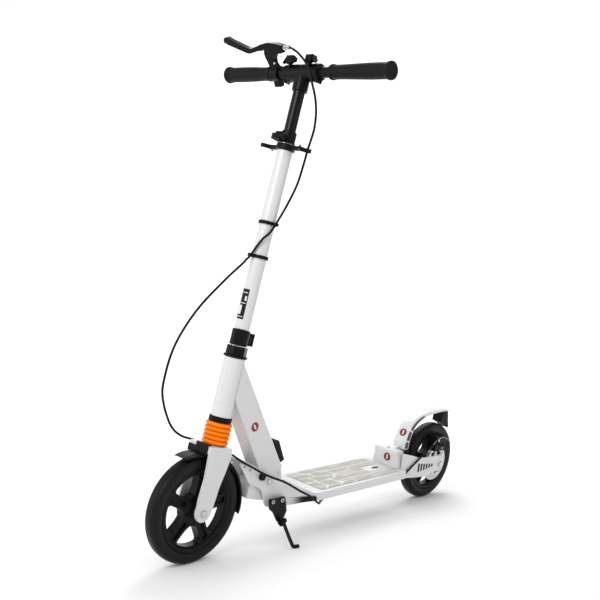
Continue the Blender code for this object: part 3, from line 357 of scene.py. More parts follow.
def tube(name, path, radius, sides=16):
    """A round solid along a path. The radius is one number or one for each point."""
    path = [Vector(p) for p in path]
    radii = radius if isinstance(radius, list) else [radius] * len(path)
    tangents = []
    for i, _ in enumerate(path):
        tangents.append((path[min(i + 1, len(path) - 1)] - path[max(i - 1, 0)]).normalized())
    across = tangents[0].orthogonal().normalized()
    sections = []
    for point, way, r in zip(path, tangents, radii):
        across = (across - way * across.dot(way)).normalized()
        other = way.cross(across)
        sections.append([point + (across * c + other * s) * r for c, s in ring_points(sides)])
    return loft(name, sections)


def soften(thing, width=0.0006, segments=2, angle=32, shade=40):
    """Rounds the hard edges of a piece and smooths its shading."""
    work = bmesh.new()
    work.from_mesh(thing.data)
    bmesh.ops.remove_doubles(work, verts=work.verts, dist=2e-6)
    bmesh.ops.dissolve_limit(work, angle_limit=math.radians(0.6), verts=work.verts, edges=work.edges)
    for face in work.faces:
        face.smooth = True
    work.to_mesh(thing.data)
    work.free()
    if width > 0:
        bevel = thing.modifiers.new("bevel", "BEVEL")
        bevel.width = width
        bevel.segments = segments
        bevel.limit_method = "ANGLE"
        bevel.angle_limit = math.radians(angle)
        bevel.use_clamp_overlap = True
        bake_modifiers(thing)
    thing.data.set_sharp_from_angle(angle=math.radians(shade))
    if width > 0:
        even = thing.modifiers.new("even", "WEIGHTED_NORMAL")
        even.keep_sharp = True
        bake_modifiers(thing)
    return thing


def show(thing, name, body, slot, paint=None, replaced=(), place=None, local=False):
    """Names a piece, paints it and makes it ride on a CAD body. A local one keeps its axes for its print."""
    thing.name = name
    thing.data.name = name
    thing.data.materials.clear()
    thing.data.materials.append(paint or BY_SLOT[slot])
    if place is not None and local:
        thing.matrix_world = place
    elif place is not None:
        thing.data.transform(place)
    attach(thing, body)
    if replaced:
        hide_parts(*([replaced] if isinstance(replaced, str) else replaced))
    return thing


def from_cad(node_name, width, paint):
    """A CAD piece whose shape is right, with its edges rounded."""
    source = frame["nodes"][node_name]
    thing = bpy.data.objects.new(node_name + "_fine", source.data.copy())
    bpy.context.scene.collection.objects.link(thing)
    show(soften(thing, width), node_name + "_fine", source["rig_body"], SLOTS[node_name], paint, node_name)


# Cable routes, as in part.py

BAR_CABLE = [(-0.0313, 0.0285, 1.0982), (-0.0330, 0.0150, 1.0935), (-0.0335, -0.0084, 1.0810),
             (-0.0310, -0.0360, 1.0571), (-0.0230, -0.0565, 1.0187), (-0.0150, -0.0670, 0.9899),
             (-0.0066, -0.0700, 0.9618), (0.0045, -0.0640, 0.9370)]
STEM_CABLE = [(0.0052, -0.0634, 0.9355), (0.0105, -0.0572, 0.9190), (0.0167, -0.0482, 0.8970),
              (0.0198, -0.0440, 0.8765), (0.0212, -0.0412, 0.8550), (0.0206, -0.0378, 0.8190),
              (0.0125, -0.0310, 0.7720), (0.0020, -0.0223, 0.7270), (-0.0085, -0.0207, 0.7050),
              (-0.0182, -0.0140, 0.6890), (-0.0221, 0.0039, 0.6540), (-0.0236, 0.0080, 0.6460)]
LOOP_CABLE = [(-0.0244, 0.0092, 0.6448), (-0.0290, 0.0145, 0.6320), (-0.0536, 0.0280, 0.5902),
              (-0.1016, 0.0360, 0.5168), (-0.1312, 0.0420, 0.4384), (-0.1341, 0.0460, 0.3648),
              (-0.1227, 0.0480, 0.3240), (-0.0886, 0.0490, 0.2761), (-0.0540, 0.0500, 0.2546),
              (-0.0103, 0.0490, 0.2464), (0.0220, 0.0400, 0.2410), (0.0420, 0.0200, 0.2370),
              (0.0531, -0.0060, 0.2322)]
DECK_CABLE = [(-0.3468, -0.0075, 0.2194), (-0.3450, -0.0180, 0.2165), (-0.3430, -0.0290, 0.2135),
              (-0.3363, -0.0370, 0.2085), (-0.3120, -0.0395, 0.1960), (-0.2878, -0.0430, 0.1824),
              (-0.2612, -0.0490, 0.1701), (-0.2344, -0.0550, 0.1599), (-0.2104, -0.0615, 0.1478),
              (-0.1844, -0.0670, 0.1326), (-0.1700, -0.0695, 0.1255), (-0.1595, -0.0705, 0.1202),
              (-0.1500, -0.0715, 0.1145), (-0.1380, -0.0722, 0.1060), (-0.1250, -0.0722, 0.0968),
              (-0.1150, -0.0690, 0.0922), (-0.0950, -0.0580, 0.0925), (-0.0600, -0.0515, 0.0945),
              (0.0500, -0.0515, 0.0945), (0.2000, -0.0515, 0.0942), (0.2262, -0.0515, 0.0955),
              (0.2400, -0.0515, 0.1030), (0.2700, -0.0515, 0.1210), (0.3100, -0.0515, 0.1430),
              (0.3380, -0.0515, 0.1570), (0.3540, -0.0510, 0.1650)]


def world(path, place):
    return [place @ Vector(p) for p in path]


def make_cables():
    """One smooth cable, in lengths split at the joints it crosses."""
    per, per_deck = 8, 6
    perch, ring, crown, boot = 2 * per, 3 * per, 7 * per, 6 * per_deck
    upper = world(smooth_path(BAR_CABLE, per), STEERING)
    stem = world(smooth_path(STEM_CABLE, per), STEERING)
    loop = world(smooth_path(LOOP_CABLE, per), STEERING)
    deck = world(smooth_path(DECK_CABLE, per_deck), ROOT)
    high = upper + stem[1 : ring + 1]
    low = stem[ring:] + loop[1 : crown + 1]
    rest = loop[crown:] + deck[1 : boot + 1]
    runs = (
        ("cable_at_lever", upper[: perch + 1], "bar_right", "handlebar", upper[0], upper[perch],
         ["brake_cable_upper"]),
        ("cable_from_bar", high[perch:], "handlebar", "steering", high[40], high[76], ["brake_cable_stem"]),
        ("cable_loop", low, "steering", "front_frame", stem[-9], loop[50], ["brake_cable_loop"]),
        ("cable_to_deck", rest, "front_frame", "deck", rest[2], rest[-10], []),
    )
    for name, path, one, other, start, end, gone in runs:
        piece = tube(name, path, CABLE_RADIUS, 14)
        piece.data.materials.append(CABLE)
        for face in piece.data.polygons:
            face.use_smooth = True
        piece.data.set_sharp_from_angle(angle=math.radians(50))
        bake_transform(piece)
        if gone:
            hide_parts(*gone)
    rear = tube("rear", deck[boot:], CABLE_RADIUS, 14)
    show(soften(rear, 0), "cable_along_deck", "deck", "black_plastic", CABLE, "brake_cable_deck")


# CAD pieces that only need their edges rounded, with the width of the rounding, and the paint of some.
EDGES = {
    "deck_platform": 0.0012, "deck_crosspiece": 0.0006, "fold_bracket_left": 0.0007,
    "fold_bracket_right": 0.0007, "rear_plate_left": 0.0006, "rear_plate_right": 0.0006,
    "fender_bracket": 0.0008, "kickstand_bracket": 0.0006, "kickstand_leg": 0.0006, "caliper_body": 0.0008,
    "caliper_arm": 0.0006, "down_tube": 0.0016, "fold_lever": 0.0012, "headset_cup_lower": 0.0004,
    "headset_cap": 0.0004, "headset_nut": 0.0005, "stem_clamp": 0.0010, "cable_ring_upper": 0.0004,
    "cable_ring_lower": 0.0004, "grip_clip": 0.0005, "height_clamp": 0.0004, "clamp_lever": 0.0008,
    "fork": 0.0016, "t_sleeve": 0.0006, "latch_left": 0.0008, "latch_right": 0.0008, "bar_left": 0.0004,
    "bar_right": 0.0004, "brake_perch": 0.0010, "brake_lever": 0.0016, "fold_pivot_bolt": 0.0004,
    "bracket_cap_bolt": 0.0005, "rear_axle": 0.0004, "front_axle": 0.0004, "brake_block": 0.0010,
    "steerer_tube": 0.0003, "headset_cup_upper": 0.0, "latch_plate": 0.0004,
}
PAINT = {"clamp_lever": GLOSS_BLACK, "kickstand_leg": BLACK_STEEL, "caliper_arm": BLACK_STEEL,
         "caliper_body": BLACK_ALLOY}


def make_stage():
    """A pale floor that runs up into a backdrop, soft lights round it, and the camera."""
    bend = 1.5
    turns = [math.pi / 2 * k / 12 for k in range(1, 13)]
    line = [(-6.0, 0.0), (3.0, 0.0)]
    line += [(3.0 + bend * math.sin(t), bend - bend * math.cos(t)) for t in turns]
    line.append((3.0 + bend, 5.0))
    verts = [(u, w, v) for w in (-7.0, 7.0) for u, v in line]
    count = len(line)
    floor = mesh_object("floor", verts, [(i, i + 1, count + i + 1, count + i) for i in range(count - 1)])
    floor.matrix_world = Matrix.Rotation(math.radians(43), 4, "Z")
    for face in floor.data.polygons:
        face.use_smooth = True
    paper = finish("studio_paper", (0.90, 0.90, 0.90), 0.9, grain=300.0, bump=0.01, mottle=0.004)
    floor.data.materials.append(paper)
    surround = bpy.data.worlds.new("studio")
    surround.use_nodes = True
    sky = surround.node_tree.nodes["Background"].inputs
    sky["Color"].default_value = (1, 1, 1, 1)
    sky["Strength"].default_value = 0.62
    bpy.context.scene.world = surround
    aim = Vector((0, 0.15, 0.5))
    wall = Vector((3.3, 3.0, 1.6))
    lamps = (("key", (-3.4, -0.7, 2.7), 2.2, 78, aim), ("fill", (-2.6, 2.2, 1.4), 2.5, 16, aim),
             ("back", (2.0, 1.6, 3.2), 2.4, 40, aim), ("side", (0.6, -3.2, 1.6), 2.0, 10, aim),
             ("backdrop", (1.3, 1.2, 3.4), 2.4, 70, wall))
    for name, spot, size, power, toward in lamps:
        lamp = bpy.data.lights.new(name, "AREA")
        lamp.shape = "DISK"
        lamp.size = size
        lamp.energy = power
        holder = bpy.data.objects.new(name, lamp)
        holder.location = spot
        holder.rotation_euler = (toward - Vector(spot)).to_track_quat("-Z", "Y").to_euler()
        bpy.context.scene.collection.objects.link(holder)
    eye = bpy.data.cameras.new("camera")
    eye.sensor_width = 36
    eye.lens = 50.8032
    camera = bpy.data.objects.new("camera", eye)
    camera.location = ROOT.translation + Vector((-1.56715, -1.38128, 0.5377))
    camera.rotation_euler = Vector((0.7303, 0.6831, 0.0046)).to_track_quat("-Z", "Y").to_euler()
    bpy.context.scene.collection.objects.link(camera)
    bpy.context.scene.camera = camera
    bpy.context.scene.view_settings.view_transform = "Standard"


# Wheels

def make_tyre(end, centre, place):
    """A solid tyre with rounded shoulders, a raised bead line on each wall and two shallow tread grooves."""
    radius = TYRE_RADIUS[end]
    bead = RIM_SEAT[end] + 0.0005
    half = [(bead, 0.0136), (bead + 0.0004, 0.0146), (bead + 0.0050, 0.0157), (radius - 0.0120, 0.0168),
            (radius - 0.0080, 0.0162), (radius - 0.0050, 0.0149), (radius - 0.0028, 0.0127),
            (radius - 0.0014, 0.0102), (radius - 0.0010, 0.0090), (radius - 0.0015, 0.0086),
            (radius - 0.0015, 0.0080), (radius - 0.0006, 0.0076), (radius, 0.0030), (radius, 0.0)]
    tyre = lathe("tyre", mirrored(half), 160, "y", (centre[0], 0, centre[1]))
    show(soften(tyre, 0, shade=38), end + "_tyre_fine", end + "_wheel", "tyre", TYRE, end + "_tyre", place)


def spoke_outline(x, z, middle, r0, r1, half0, half1, half2):
    """A spoke's recess between two radii: narrow at the waist and wide at the rim."""
    t = math.radians(middle)
    way = Vector((math.cos(t), math.sin(t)))
    side = Vector((-way.y, way.x))
    waist = r0 * 0.4 + r1 * 0.6
    points = [(r0, half0), (waist, half1), (r1, half2), (r1, -half2), (waist, -half1), (r0, -half0)]
    return rounded([tuple(Vector((x, z)) + way * r + side * h) for r, h in points], 0.006, 5)


def make_rim(end, centre, place):
    """A five-spoke moulded rim. Each spoke is a channel with a rib down both edges."""
    seat = RIM_SEAT[end]
    x, z = centre
    half = [(seat, 0.0132), (seat - 0.0008, 0.0143), (seat - 0.0030, 0.0145), (seat - 0.0068, 0.0142),
            (seat - 0.0085, 0.0128), (seat - 0.0105, 0.0096), (0.0380, 0.0104), (0.0290, 0.0118),
            (0.0235, 0.0146), (0.0215, 0.0150), (0.0115, 0.0150)]
    rim = lathe("rim", mirrored(half), 120, "y", (x, 0, z))
    holes = []
    for k in range(SPOKES):
        middle = 360 // SPOKES * k + 54
        turn = math.radians(middle)
        ring = arc(x, z, seat - 0.0125, middle + 26, middle - 26, 4)
        ring += arc(x, z, 0.0480, middle - 22, middle - 21, 1)[:1]
        ring += arc(x, z, 0.0340, middle - 12, middle + 12, 2)
        ring += arc(x, z, 0.0480, middle + 21, middle + 22, 1)[1:]
        holes.append(prism("hole", rounded(ring, 0.010, 6), -0.05, 0.05))
        channel_line = spoke_outline(x, z, middle + 36, 0.0330, seat - 0.0135, 0.0052, 0.0055, 0.0085)
        for low, high in ((-0.05, -0.0052), (0.0052, 0.05)):
            holes.append(prism("pocket", channel_line, low, high))
        dimple = (x + 0.0265 * math.cos(turn), 0, z + 0.0265 * math.sin(turn))
        for low, high in ((-0.05, -0.0105), (0.0105, 0.05)):
            holes.append(rod("dimple", 0.0035, low, high, 24, "y", dimple))
    cut(rim, merge(*holes))
    rim = soften(rim, 0.0007, 2, 40, 45)
    show(rim, end + "_rim_fine", end + "_wheel", "black_plastic", BLACK_PLASTIC, end + "_rim", place)


def make_bearing(end, centre, place):
    """Both bearings of a wheel with their seals and the spacers out to the fork or the plates."""
    hub_half = HUB_HALF[end]
    half = [(0.0112, 0.0), (0.0112, 0.0148), (0.0104, 0.0151), (0.0100, 0.0146), (0.0078, 0.0146),
            (0.0074, 0.0151), (0.0062, 0.0152), (0.0060, hub_half - 0.0004), (0.0056, hub_half),
            (0.0045, hub_half)]
    piece = soften(lathe("bearing", mirrored(half), 64, "y", (centre[0], 0, centre[1])), 0, shade=30)
    show(piece, end + "_bearings_fine", end + "_wheel", "steel", STEEL, end + "_bearings", place)


def make_disc():
    """The ventilated brake disc: a slotted spider and a braking band with two rows of holes."""
    x, z = REAR_AXLE
    disc = sleeve("disc", 0.0125, 0.0500, -0.0295, -0.0275, 120, "y", (x, 0, z))
    holes = []
    for k in range(6):
        middle = 60 * k
        ring = arc(x, z, 0.0350, middle + 22, middle - 20, 8) + arc(x, z, 0.0225, middle - 14, middle + 8, 4)
        holes.append(prism("hole", rounded(ring, 0.002, 3), -0.05, 0.05))
    for k, (c, s) in enumerate(ring_points(36)):
        r = 0.0400 if k % 2 else 0.0450
        holes.append(rod("vent", 0.0018, -0.05, 0.05, 12, "y", (x + r * c, 0, z + r * s)))
    cut(disc, merge(*holes))
    join(disc, sleeve("carrier", 0.0125, 0.0180, -0.0280, -0.0154, 64, "y", (x, 0, z)))
    show(soften(disc, 0.0002, 1, 40, 30), "brake_disc_fine", "rear_wheel", "steel", BRUSHED, "brake_disc",
         ROOT)


def socket_screw(name, centre, radius, y0, y1, body, place):
    """A domed screw head seen end on, with a hexagon socket. It stands from y0 out to y1 along the y axis."""
    out = 1 if y1 > y0 else -1
    tall = abs(y1 - y0)
    profile = [(0, y0), (radius, y0), (radius, y0 + out * tall * 0.55),
               (radius * 0.86, y0 + out * tall * 0.88), (radius * 0.62, y1), (0, y1)]
    head = lathe("head", profile, 48, "y", (centre[0], 0, centre[1]))
    hexagon = [(centre[0] + radius * 0.5 * c, centre[1] + radius * 0.5 * s) for c, s in ring_points(6)]
    cut(head, prism("socket", hexagon, y1 - out * tall * 0.55, y1 + out * 0.002))
    show(soften(head, 0.0001, 1, 40, 35), name, body, "steel", STEEL, (), place)


# Fenders

def channel(point, normal, half, deep, thick, ribs):
    """Cross-section of a fender open toward the tyre, with soft shoulders and lengthwise ribs."""
    shoulder = min(0.007, deep * 0.6)
    outer = [(-half, deep), (-half, shoulder)]
    corner = 0.007
    for t in (0.35, 0.7, 1.05, 1.4):
        outer.append((-half + corner * (1 - math.cos(t)), shoulder * (1 - math.sin(t))))
    flat = half - corner
    steps = 24
    for k in range(steps + 1):
        y = -flat + 2 * flat * k / steps
        outer.append((y, -ribs * max(0.0, math.cos(y / half * math.pi * 3.0)) ** 2))
    outer += [(-y, d) for y, d in reversed(outer[:6])]
    rim = half - thick
    inner = [(rim, deep), (rim, shoulder + thick * 0.3), (rim - 0.002, thick * 1.6), (rim - 0.006, thick)]
    inner += [(-y, d) for y, d in reversed(inner)]
    return [(point[0] - normal[0] * d, y, point[1] - normal[1] * d) for y, d in outer + inner]


def along(line, t):
    """The point and the outward normal at a share t of a smooth plane line."""
    path = smooth_path([(u, 0, v) for u, v in line], 24)
    at = min(max(t, 0), 1) * (len(path) - 1)
    i = min(int(at), len(path) - 2)
    point = path[i].lerp(path[i + 1], at - i)
    way = (path[min(i + 2, len(path) - 1)] - path[max(i - 1, 0)]).normalized()
    return (point.x, point.z), (-way.z, way.x)


def blend_values(values, t):
    """The value at a share t of a row of evenly spaced values."""
    at = min(max(t, 0), 1) * (len(values) - 1)
    i = min(int(at), len(values) - 2)
    f = at - i
    return values[i] * (1 - f) + values[i + 1] * f


def make_front_fender():
    """A ribbed black strip close over the tyre that lifts away toward its front end, and its two pads."""
    sections = []
    for k in range(61):
        t = k / 60
        degrees = -3 + 126 * t
        lift = 0.0 if degrees < 84 else 0.0110 * ((degrees - 84) / 45) ** 1.6
        a = math.radians(degrees)
        normal = (math.cos(a), math.sin(a))
        radius = 0.1197 + lift
        point = (FRONT_AXLE[0] + radius * normal[0], FRONT_AXLE[1] + radius * normal[1])
        half = 0.0218 - 0.0035 * max(0.0, (t - 0.93) / 0.07) - 0.0015 * max(0.0, (0.05 - t) / 0.05)
        deep = 0.0066 - 0.0032 * max(0.0, (t - 0.70) / 0.30)
        sections.append(channel(point, normal, half, deep, 0.0018, 0.0009))
    piece = soften(loft("fender", sections), 0, shade=42)
    show(piece, "front_fender_fine", "fork", "black_plastic", BLACK_PLASTIC, "front_fender", STEERING)
    bracket = [(-0.0120, 0.2330), (0.0080, 0.2330), (0.0080, 0.2364), (-0.0120, 0.2364)]
    for side, word in SIDES:
        pad = prism("pad", bracket, side * 0.0060, side * 0.0150)
        show(soften(pad, 0.0008), "fender_pad_" + word, "fork", "black_plastic", None, (), STEERING)


FENDER_LINE = ((0.2640, 0.1560), (0.2665, 0.1760), (0.2735, 0.1960), (0.2860, 0.2150), (0.3050, 0.2300),
               (0.3320, 0.2410), (0.3700, 0.2475), (0.4180, 0.2495), (0.4450, 0.2485), (0.4660, 0.2455))
FENDER_DEPTH = (0.0220, 0.0220, 0.0210, 0.0190, 0.0160, 0.0120, 0.0080, 0.0060, 0.0048, 0.0036)
FENDER_HALF = 0.0190


def make_rear_fender():
    """White foot-brake fender with a lattice of dark windows along each side."""
    sections = []
    for k in range(91):
        t = k / 90
        point, normal = along(FENDER_LINE, t)
        sections.append(channel(point, normal, FENDER_HALF, blend_values(FENDER_DEPTH, t), 0.0020, 0.0))
    shell = loft("shell", sections)
    web = [(0.2285, 0.1525), (0.2320, 0.1555), (0.2650, 0.1640), (0.2740, 0.1840), (0.2820, 0.1830),
           (0.2860, 0.1700), (0.2760, 0.1540), (0.2400, 0.1470)]
    join(shell, prism("web", web, -0.0070, 0.0070))
    hinge = (FENDER_HINGE[0], 0, FENDER_HINGE[1])
    join(shell, rod("barrel", 0.0060, -0.0074, 0.0074, 48, "y", hinge))
    cut(shell, rod("bore", 0.0034, -0.0300, 0.0300, 32, "y", hinge))
    shell = soften(shell, 0, shade=38)
    show(shell, "rear_fender_fine", "rear_fender", "white_plastic", WHITE_PLASTIC, "rear_fender", ROOT)
    spans = ((0.012, 0.115), (0.140, 0.285), (0.315, 0.590))
    for side, word in SIDES:
        panes = []
        for a, b in spans:
            rows = []
            for k in range(13):
                t = a + (b - a) * k / 12
                point, normal = along(FENDER_LINE, t)
                deep = blend_values(FENDER_DEPTH, t)
                y = side * FENDER_HALF
                near, far = deep * 0.22 + 0.0010, deep - 0.0026
                row = []
                for d, out in ((near, -0.0006), (near, 0.0002), (far, 0.0002), (far, -0.0006)):
                    row.append((point[0] - normal[0] * d, y + side * out, point[1] - normal[1] * d))
                rows.append(row)
            panes.append(loft("pane", rows))
        piece = soften(merge(*panes), 0, shade=35)
        show(piece, "fender_lattice_" + word, "rear_fender", "white_plastic", GREY_PLASTIC, (), ROOT)
    stop = [(0.2480, 0.1480), (0.2900, 0.1430), (0.2905, 0.1470), (0.2860, 0.1500), (0.2660, 0.1530),
            (0.2490, 0.1530)]
    for side, word in SIDES:
        block = prism("block", stop, side * 0.0076, side * 0.0200)
        show(soften(block, 0.0008), "fender_stop_" + word, "rear_fender", "rubber", BLACK_PLASTIC, (), ROOT)


# Column

def make_bellows():
    """Five soft ridges with painted shade, a darker orange, in their valleys, and the spring inside them."""
    outer = []
    low, high, count = 0.2533, 0.3001, 5
    valley = 0.0240
    pitch = (high - low) / count
    for k in range(count * 12 + 1):
        s = low + pitch * k / 12
        outer.append((valley + 0.0042 * abs(math.sin(math.pi * (s - low) / pitch)) ** 0.7, s))
    piece = lathe("boot", outer + [(0.0212, high), (0.0212, low)], 96)
    soften(piece, 0, shade=60)
    # The ridge height, 0 in a valley and 1 near a crest, drives the painted shade in the valleys.
    rises = [(math.hypot(v.co.x, v.co.y) - valley) / 0.0040 for v in piece.data.vertices]
    shade = piece.data.attributes.new("ridge", "FLOAT", "POINT")
    shade.data.foreach_set("value", [min(max(rise, 0), 1) for rise in rises])
    piece.name = "bellows_fine"
    piece.data.materials.append(ORANGE)
    piece.data.transform(STEERING)
    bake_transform(piece)
    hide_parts("bellows")
    foot, tall, whole = 0.2542, 0.0460, 8 * math.pi
    angles = [whole * k / 160 for k in range(161)]
    turns = [(0.0138 * math.cos(t), 0.0138 * math.sin(t), foot + tall * t / whole) for t in angles]
    coil = tube("suspension_spring_fine", turns, 0.0016, 12)
    soften(coil, 0, shade=50)
    coil.data.materials.append(STEEL)
    coil.data.transform(STEERING)
    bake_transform(coil)
    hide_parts("suspension_spring")


def make_stem():
    """The white outer tube with its label, the black inner tube and the head tube with its end bands."""
    profile = [(0.0165, 0.4990), (0.0165, 0.8820), (0.0162, 0.8834), (0.0154, 0.8840), (0.0136, 0.8840),
               (0.0136, 0.4985), (0.0160, 0.4985)]
    stem = soften(lathe("stem", profile, 128), 0, shade=35)
    show(stem, "stem_tube_fine", "steering", "white_alloy", WHITE, "stem_tube", STEERING)
    edge = arc(0, 0, 0.01672, 136, 216, 16) + arc(0, 0, 0.01652, 216, 136, 16)
    patch = [[(u, v, s) for u, v in edge] for s in (0.5190, 0.5196, 0.5824, 0.5830)]
    label = soften(loft("label", patch), 0, shade=50)
    show(label, "stem_label", "steering", "black_plastic", LABEL, (), STEERING, True)
    band = sleeve("band", 0.0110, 0.01285, 0.6800, 1.0370, 96)
    show(soften(band, 0, shade=35), "upper_tube_fine", "handlebar", "black_alloy", GLOSS_BLACK, "upper_tube",
         STEERING)
    head = [(0.0200, 0.3068), (0.0225, 0.3072), (0.0227, 0.3150), (0.0225, 0.3160), (0.0225, 0.4285),
            (0.0227, 0.4295), (0.0227, 0.4373), (0.0223, 0.4377), (0.0200, 0.4377)]
    head_tube = soften(lathe("head", head, 128), 0, shade=30)
    show(head_tube, "head_tube_fine", "front_frame", "white_alloy", WHITE, "head_tube", STEERING)


def lobed(centre, radius, lobes, count):
    """A knob's outline: a circle whose radius rises and falls in lobes."""
    out = []
    for k in range(count):
        t = 2 * math.pi * k / count
        r = radius + 0.0009 * math.cos(lobes * t)
        out.append((centre[0] + r * math.cos(t), centre[1] + r * math.sin(t)))
    return out


def make_knobs():
    """The height clamp's knob with its washers, and the lobed cap of the bolt across the bracket's nose."""
    bolt = (-0.0260, 0.9080)
    knob = prism("knob", lobed(bolt, 0.0066, 5, 60), -0.0162, -0.0084)
    show(soften(knob, 0.0008, 3), "clamp_knob", "steering", "black_plastic", BLACK_PLASTIC, (), STEERING)
    washer = sleeve("washer", 0.0135, 0.0194, 0.8971, 0.8976, 96)
    merge(washer, sleeve("washer", 0.0026, 0.0058, -0.0084, -0.0081, 48, "y", (bolt[0], 0, bolt[1])))
    show(soften(washer, 0, shade=30), "clamp_washers", "steering", "steel", STEEL, (), STEERING)
    nose = (-0.2754, 0.1690)
    cap = prism("cap", lobed(nose, 0.0080, 6, 72), -0.0378, -0.0315)
    cut(cap, rod("dish", 0.0034, -0.0390, -0.0350, 32, "y", (nose[0], 0, nose[1])))
    show(soften(cap, 0.0008, 3), "bracket_cap", "deck", "black_steel", BLACK_STEEL, (), ROOT)


def make_adjuster():
    """The knurled cable adjuster on the brake perch."""
    steps = ((0.0270, 0.0030), (0.0290, 0.0033), (0.0292, 0.0046), (0.0350, 0.0046), (0.0352, 0.0036),
             (0.0372, 0.0036), (0.0374, 0.0052), (0.0438, 0.0052), (0.0440, 0.0034), (0.0450, 0.0034))
    rows = []
    for y, r in steps:
        teeth = 0.0003 if r > 0.004 else 0.0
        radii = [r + teeth * (1 if k % 2 else -1) for k in range(48)]
        rows.append([(radius * c, y, 0.0545 + radius * s) for radius, (c, s) in zip(radii, ring_points(48))])
    barrel = soften(loft("barrel", rows), 0, shade=35)
    show(barrel, "cable_adjuster", "bar_right", "steel", STEEL, (), LEVER_PLANE)


def make_rivets():
    """Two hollow rivets that hold the kickstand's bracket, each with a dark core."""
    flange = [(0.0024, -0.0468), (0.0048, -0.0468), (0.0048, -0.0484), (0.0040, -0.0492), (0.0024, -0.0488)]
    filling = [(0, -0.0468), (0.0023, -0.0468), (0.0023, -0.0478), (0, -0.0478)]
    for k, (x, z) in enumerate(((-0.2463, 0.1112), (-0.2170, 0.1105))):
        ring = soften(lathe("ring", flange, 48, "y", (x, 0, z)), 0, shade=35)
        show(ring, "bracket_rivet_%d" % k, "deck", "steel", STEEL, (), ROOT)
        core = soften(lathe("core", filling, 32, "y", (x, 0, z)), 0, shade=35)
        show(core, "bracket_rivet_core_%d" % k, "deck", "black_steel", BLACK_STEEL, (), ROOT)


def make_screws():
    """Socket screws at the ear, pivot, front axle, rear plate and caliper, and the screw in the perch."""
    socket_screw("ear_screw", (-0.2130, 0.1665), 0.0030, -0.0216, -0.0232, "front_frame", ROOT)
    for side, word in SIDES:
        socket_screw("pivot_screw_" + word, FOLD, 0.0066, side * 0.0343, side * 0.0362, "deck", ROOT)
    for side, word in SIDES:
        socket_screw("front_axle_screw_" + word, FRONT_AXLE, 0.0062, side * 0.0373, side * 0.0390, "fork",
                     STEERING)
    socket_screw("plate_screw_front", (0.2470, 0.1120), 0.0032, -0.0475, -0.0492, "deck", ROOT)
    socket_screw("caliper_screw_a", (0.3850, 0.1760), 0.0030, -0.0459, -0.0478, "deck", ROOT)
    socket_screw("caliper_screw_b", (0.4080, 0.1500), 0.0028, -0.0459, -0.0474, "deck", ROOT)
    profile = [(0, 0.0), (0.0026, 0.0), (0.0026, -0.0012), (0.0016, -0.0020), (0, -0.0020)]
    screw = lathe("screw", profile, 32, "x", (-0.0074, 0.0740, 0.0240))
    show(soften(screw, 0, shade=30), "perch_screw", "bar_right", "steel", STEEL, (), LEVER_PLANE)


def make_brake_wire():
    """The bare inner wire at the caliper, its loose tail and the nut that clamps it to the arm."""
    run = [(0.3540, -0.0510, 0.1650), (0.3620, -0.0508, 0.1705), (0.3705, -0.0505, 0.1765)]
    wire = tube("wire", smooth_path(run, 6), 0.0007, 10)
    show(soften(wire, 0, shade=50), "brake_wire", "deck", "steel", STEEL, (), ROOT)
    loose = [(0.3735, -0.0540, 0.1790), (0.3900, -0.0552, 0.1840), (0.4180, -0.0560, 0.1750),
             (0.4420, -0.0570, 0.1560), (0.4640, -0.0580, 0.1360)]
    tail = tube("tail", smooth_path(loose, 10), 0.0006, 10)
    show(soften(tail, 0, shade=50), "brake_wire_tail", "caliper_arm", "steel", STEEL, (), ROOT)
    nip = rod("nip", 0.0030, -0.0555, -0.0529, 32, "y", (0.3745, 0, 0.1765))
    show(soften(nip, 0.0004), "wire_clamp", "caliper_arm", "steel", STEEL, (), ROOT)


def make_mark(name, place, body, slot):
    """A plain round mark: a dark red disc with a pale bar across it."""
    disc = rod("disc", 0.0105, 0.0, 0.00022, 64)
    show(soften(disc, 0, shade=30), name, body, slot, RED, (), place)
    outline = [(-0.0062, -0.0021), (0.0062, -0.0021), (0.0062, 0.0021), (-0.0062, 0.0021)]
    bar = prism("bar", rounded(outline, 0.0018, 4), 0.00018, 0.00034, "z")
    show(soften(bar, 0, shade=30), name + "_bar", body, slot, WHITE_PLASTIC, (), place)


def make_marks():
    """Three marks: the down tube's left face, the riser's front face and the top of the rear fender."""
    turn = Matrix.Rotation(math.radians(90), 4, "X")
    tilt = Matrix.Rotation(math.radians(-58), 4, "Z")
    spot = ROOT @ Matrix.Translation((-0.3036, -0.02155, 0.2805)) @ turn @ tilt
    make_mark("mark_down_tube", spot, "front_frame", "white_alloy")
    face = Matrix.Rotation(math.radians(-90), 4, "Y")
    make_mark("mark_riser", ROOT @ Matrix.Translation((0.2133, -0.0060, 0.1400)) @ face, "deck",
              "white_alloy")
    point, normal = along(FENDER_LINE, 0.235)
    top = (point[0] + normal[0] * 0.0001, -0.0040, point[1] + normal[1] * 0.0001)
    lean = Matrix.Rotation(math.atan2(normal[0], normal[1]), 4, "Y")
    make_mark("mark_fender", ROOT @ Matrix.Translation(top) @ lean, "rear_fender", "white_plastic")


GRIP_START = {"left": 0.0804, "right": 0.0940}
GRIP_COLLAR = [(0.0158, 0.0), (0.0163, 0.0012), (0.0165, 0.0055), (0.0161, 0.0066), (0.0153, 0.0072),
               (0.0151, 0.0090)]


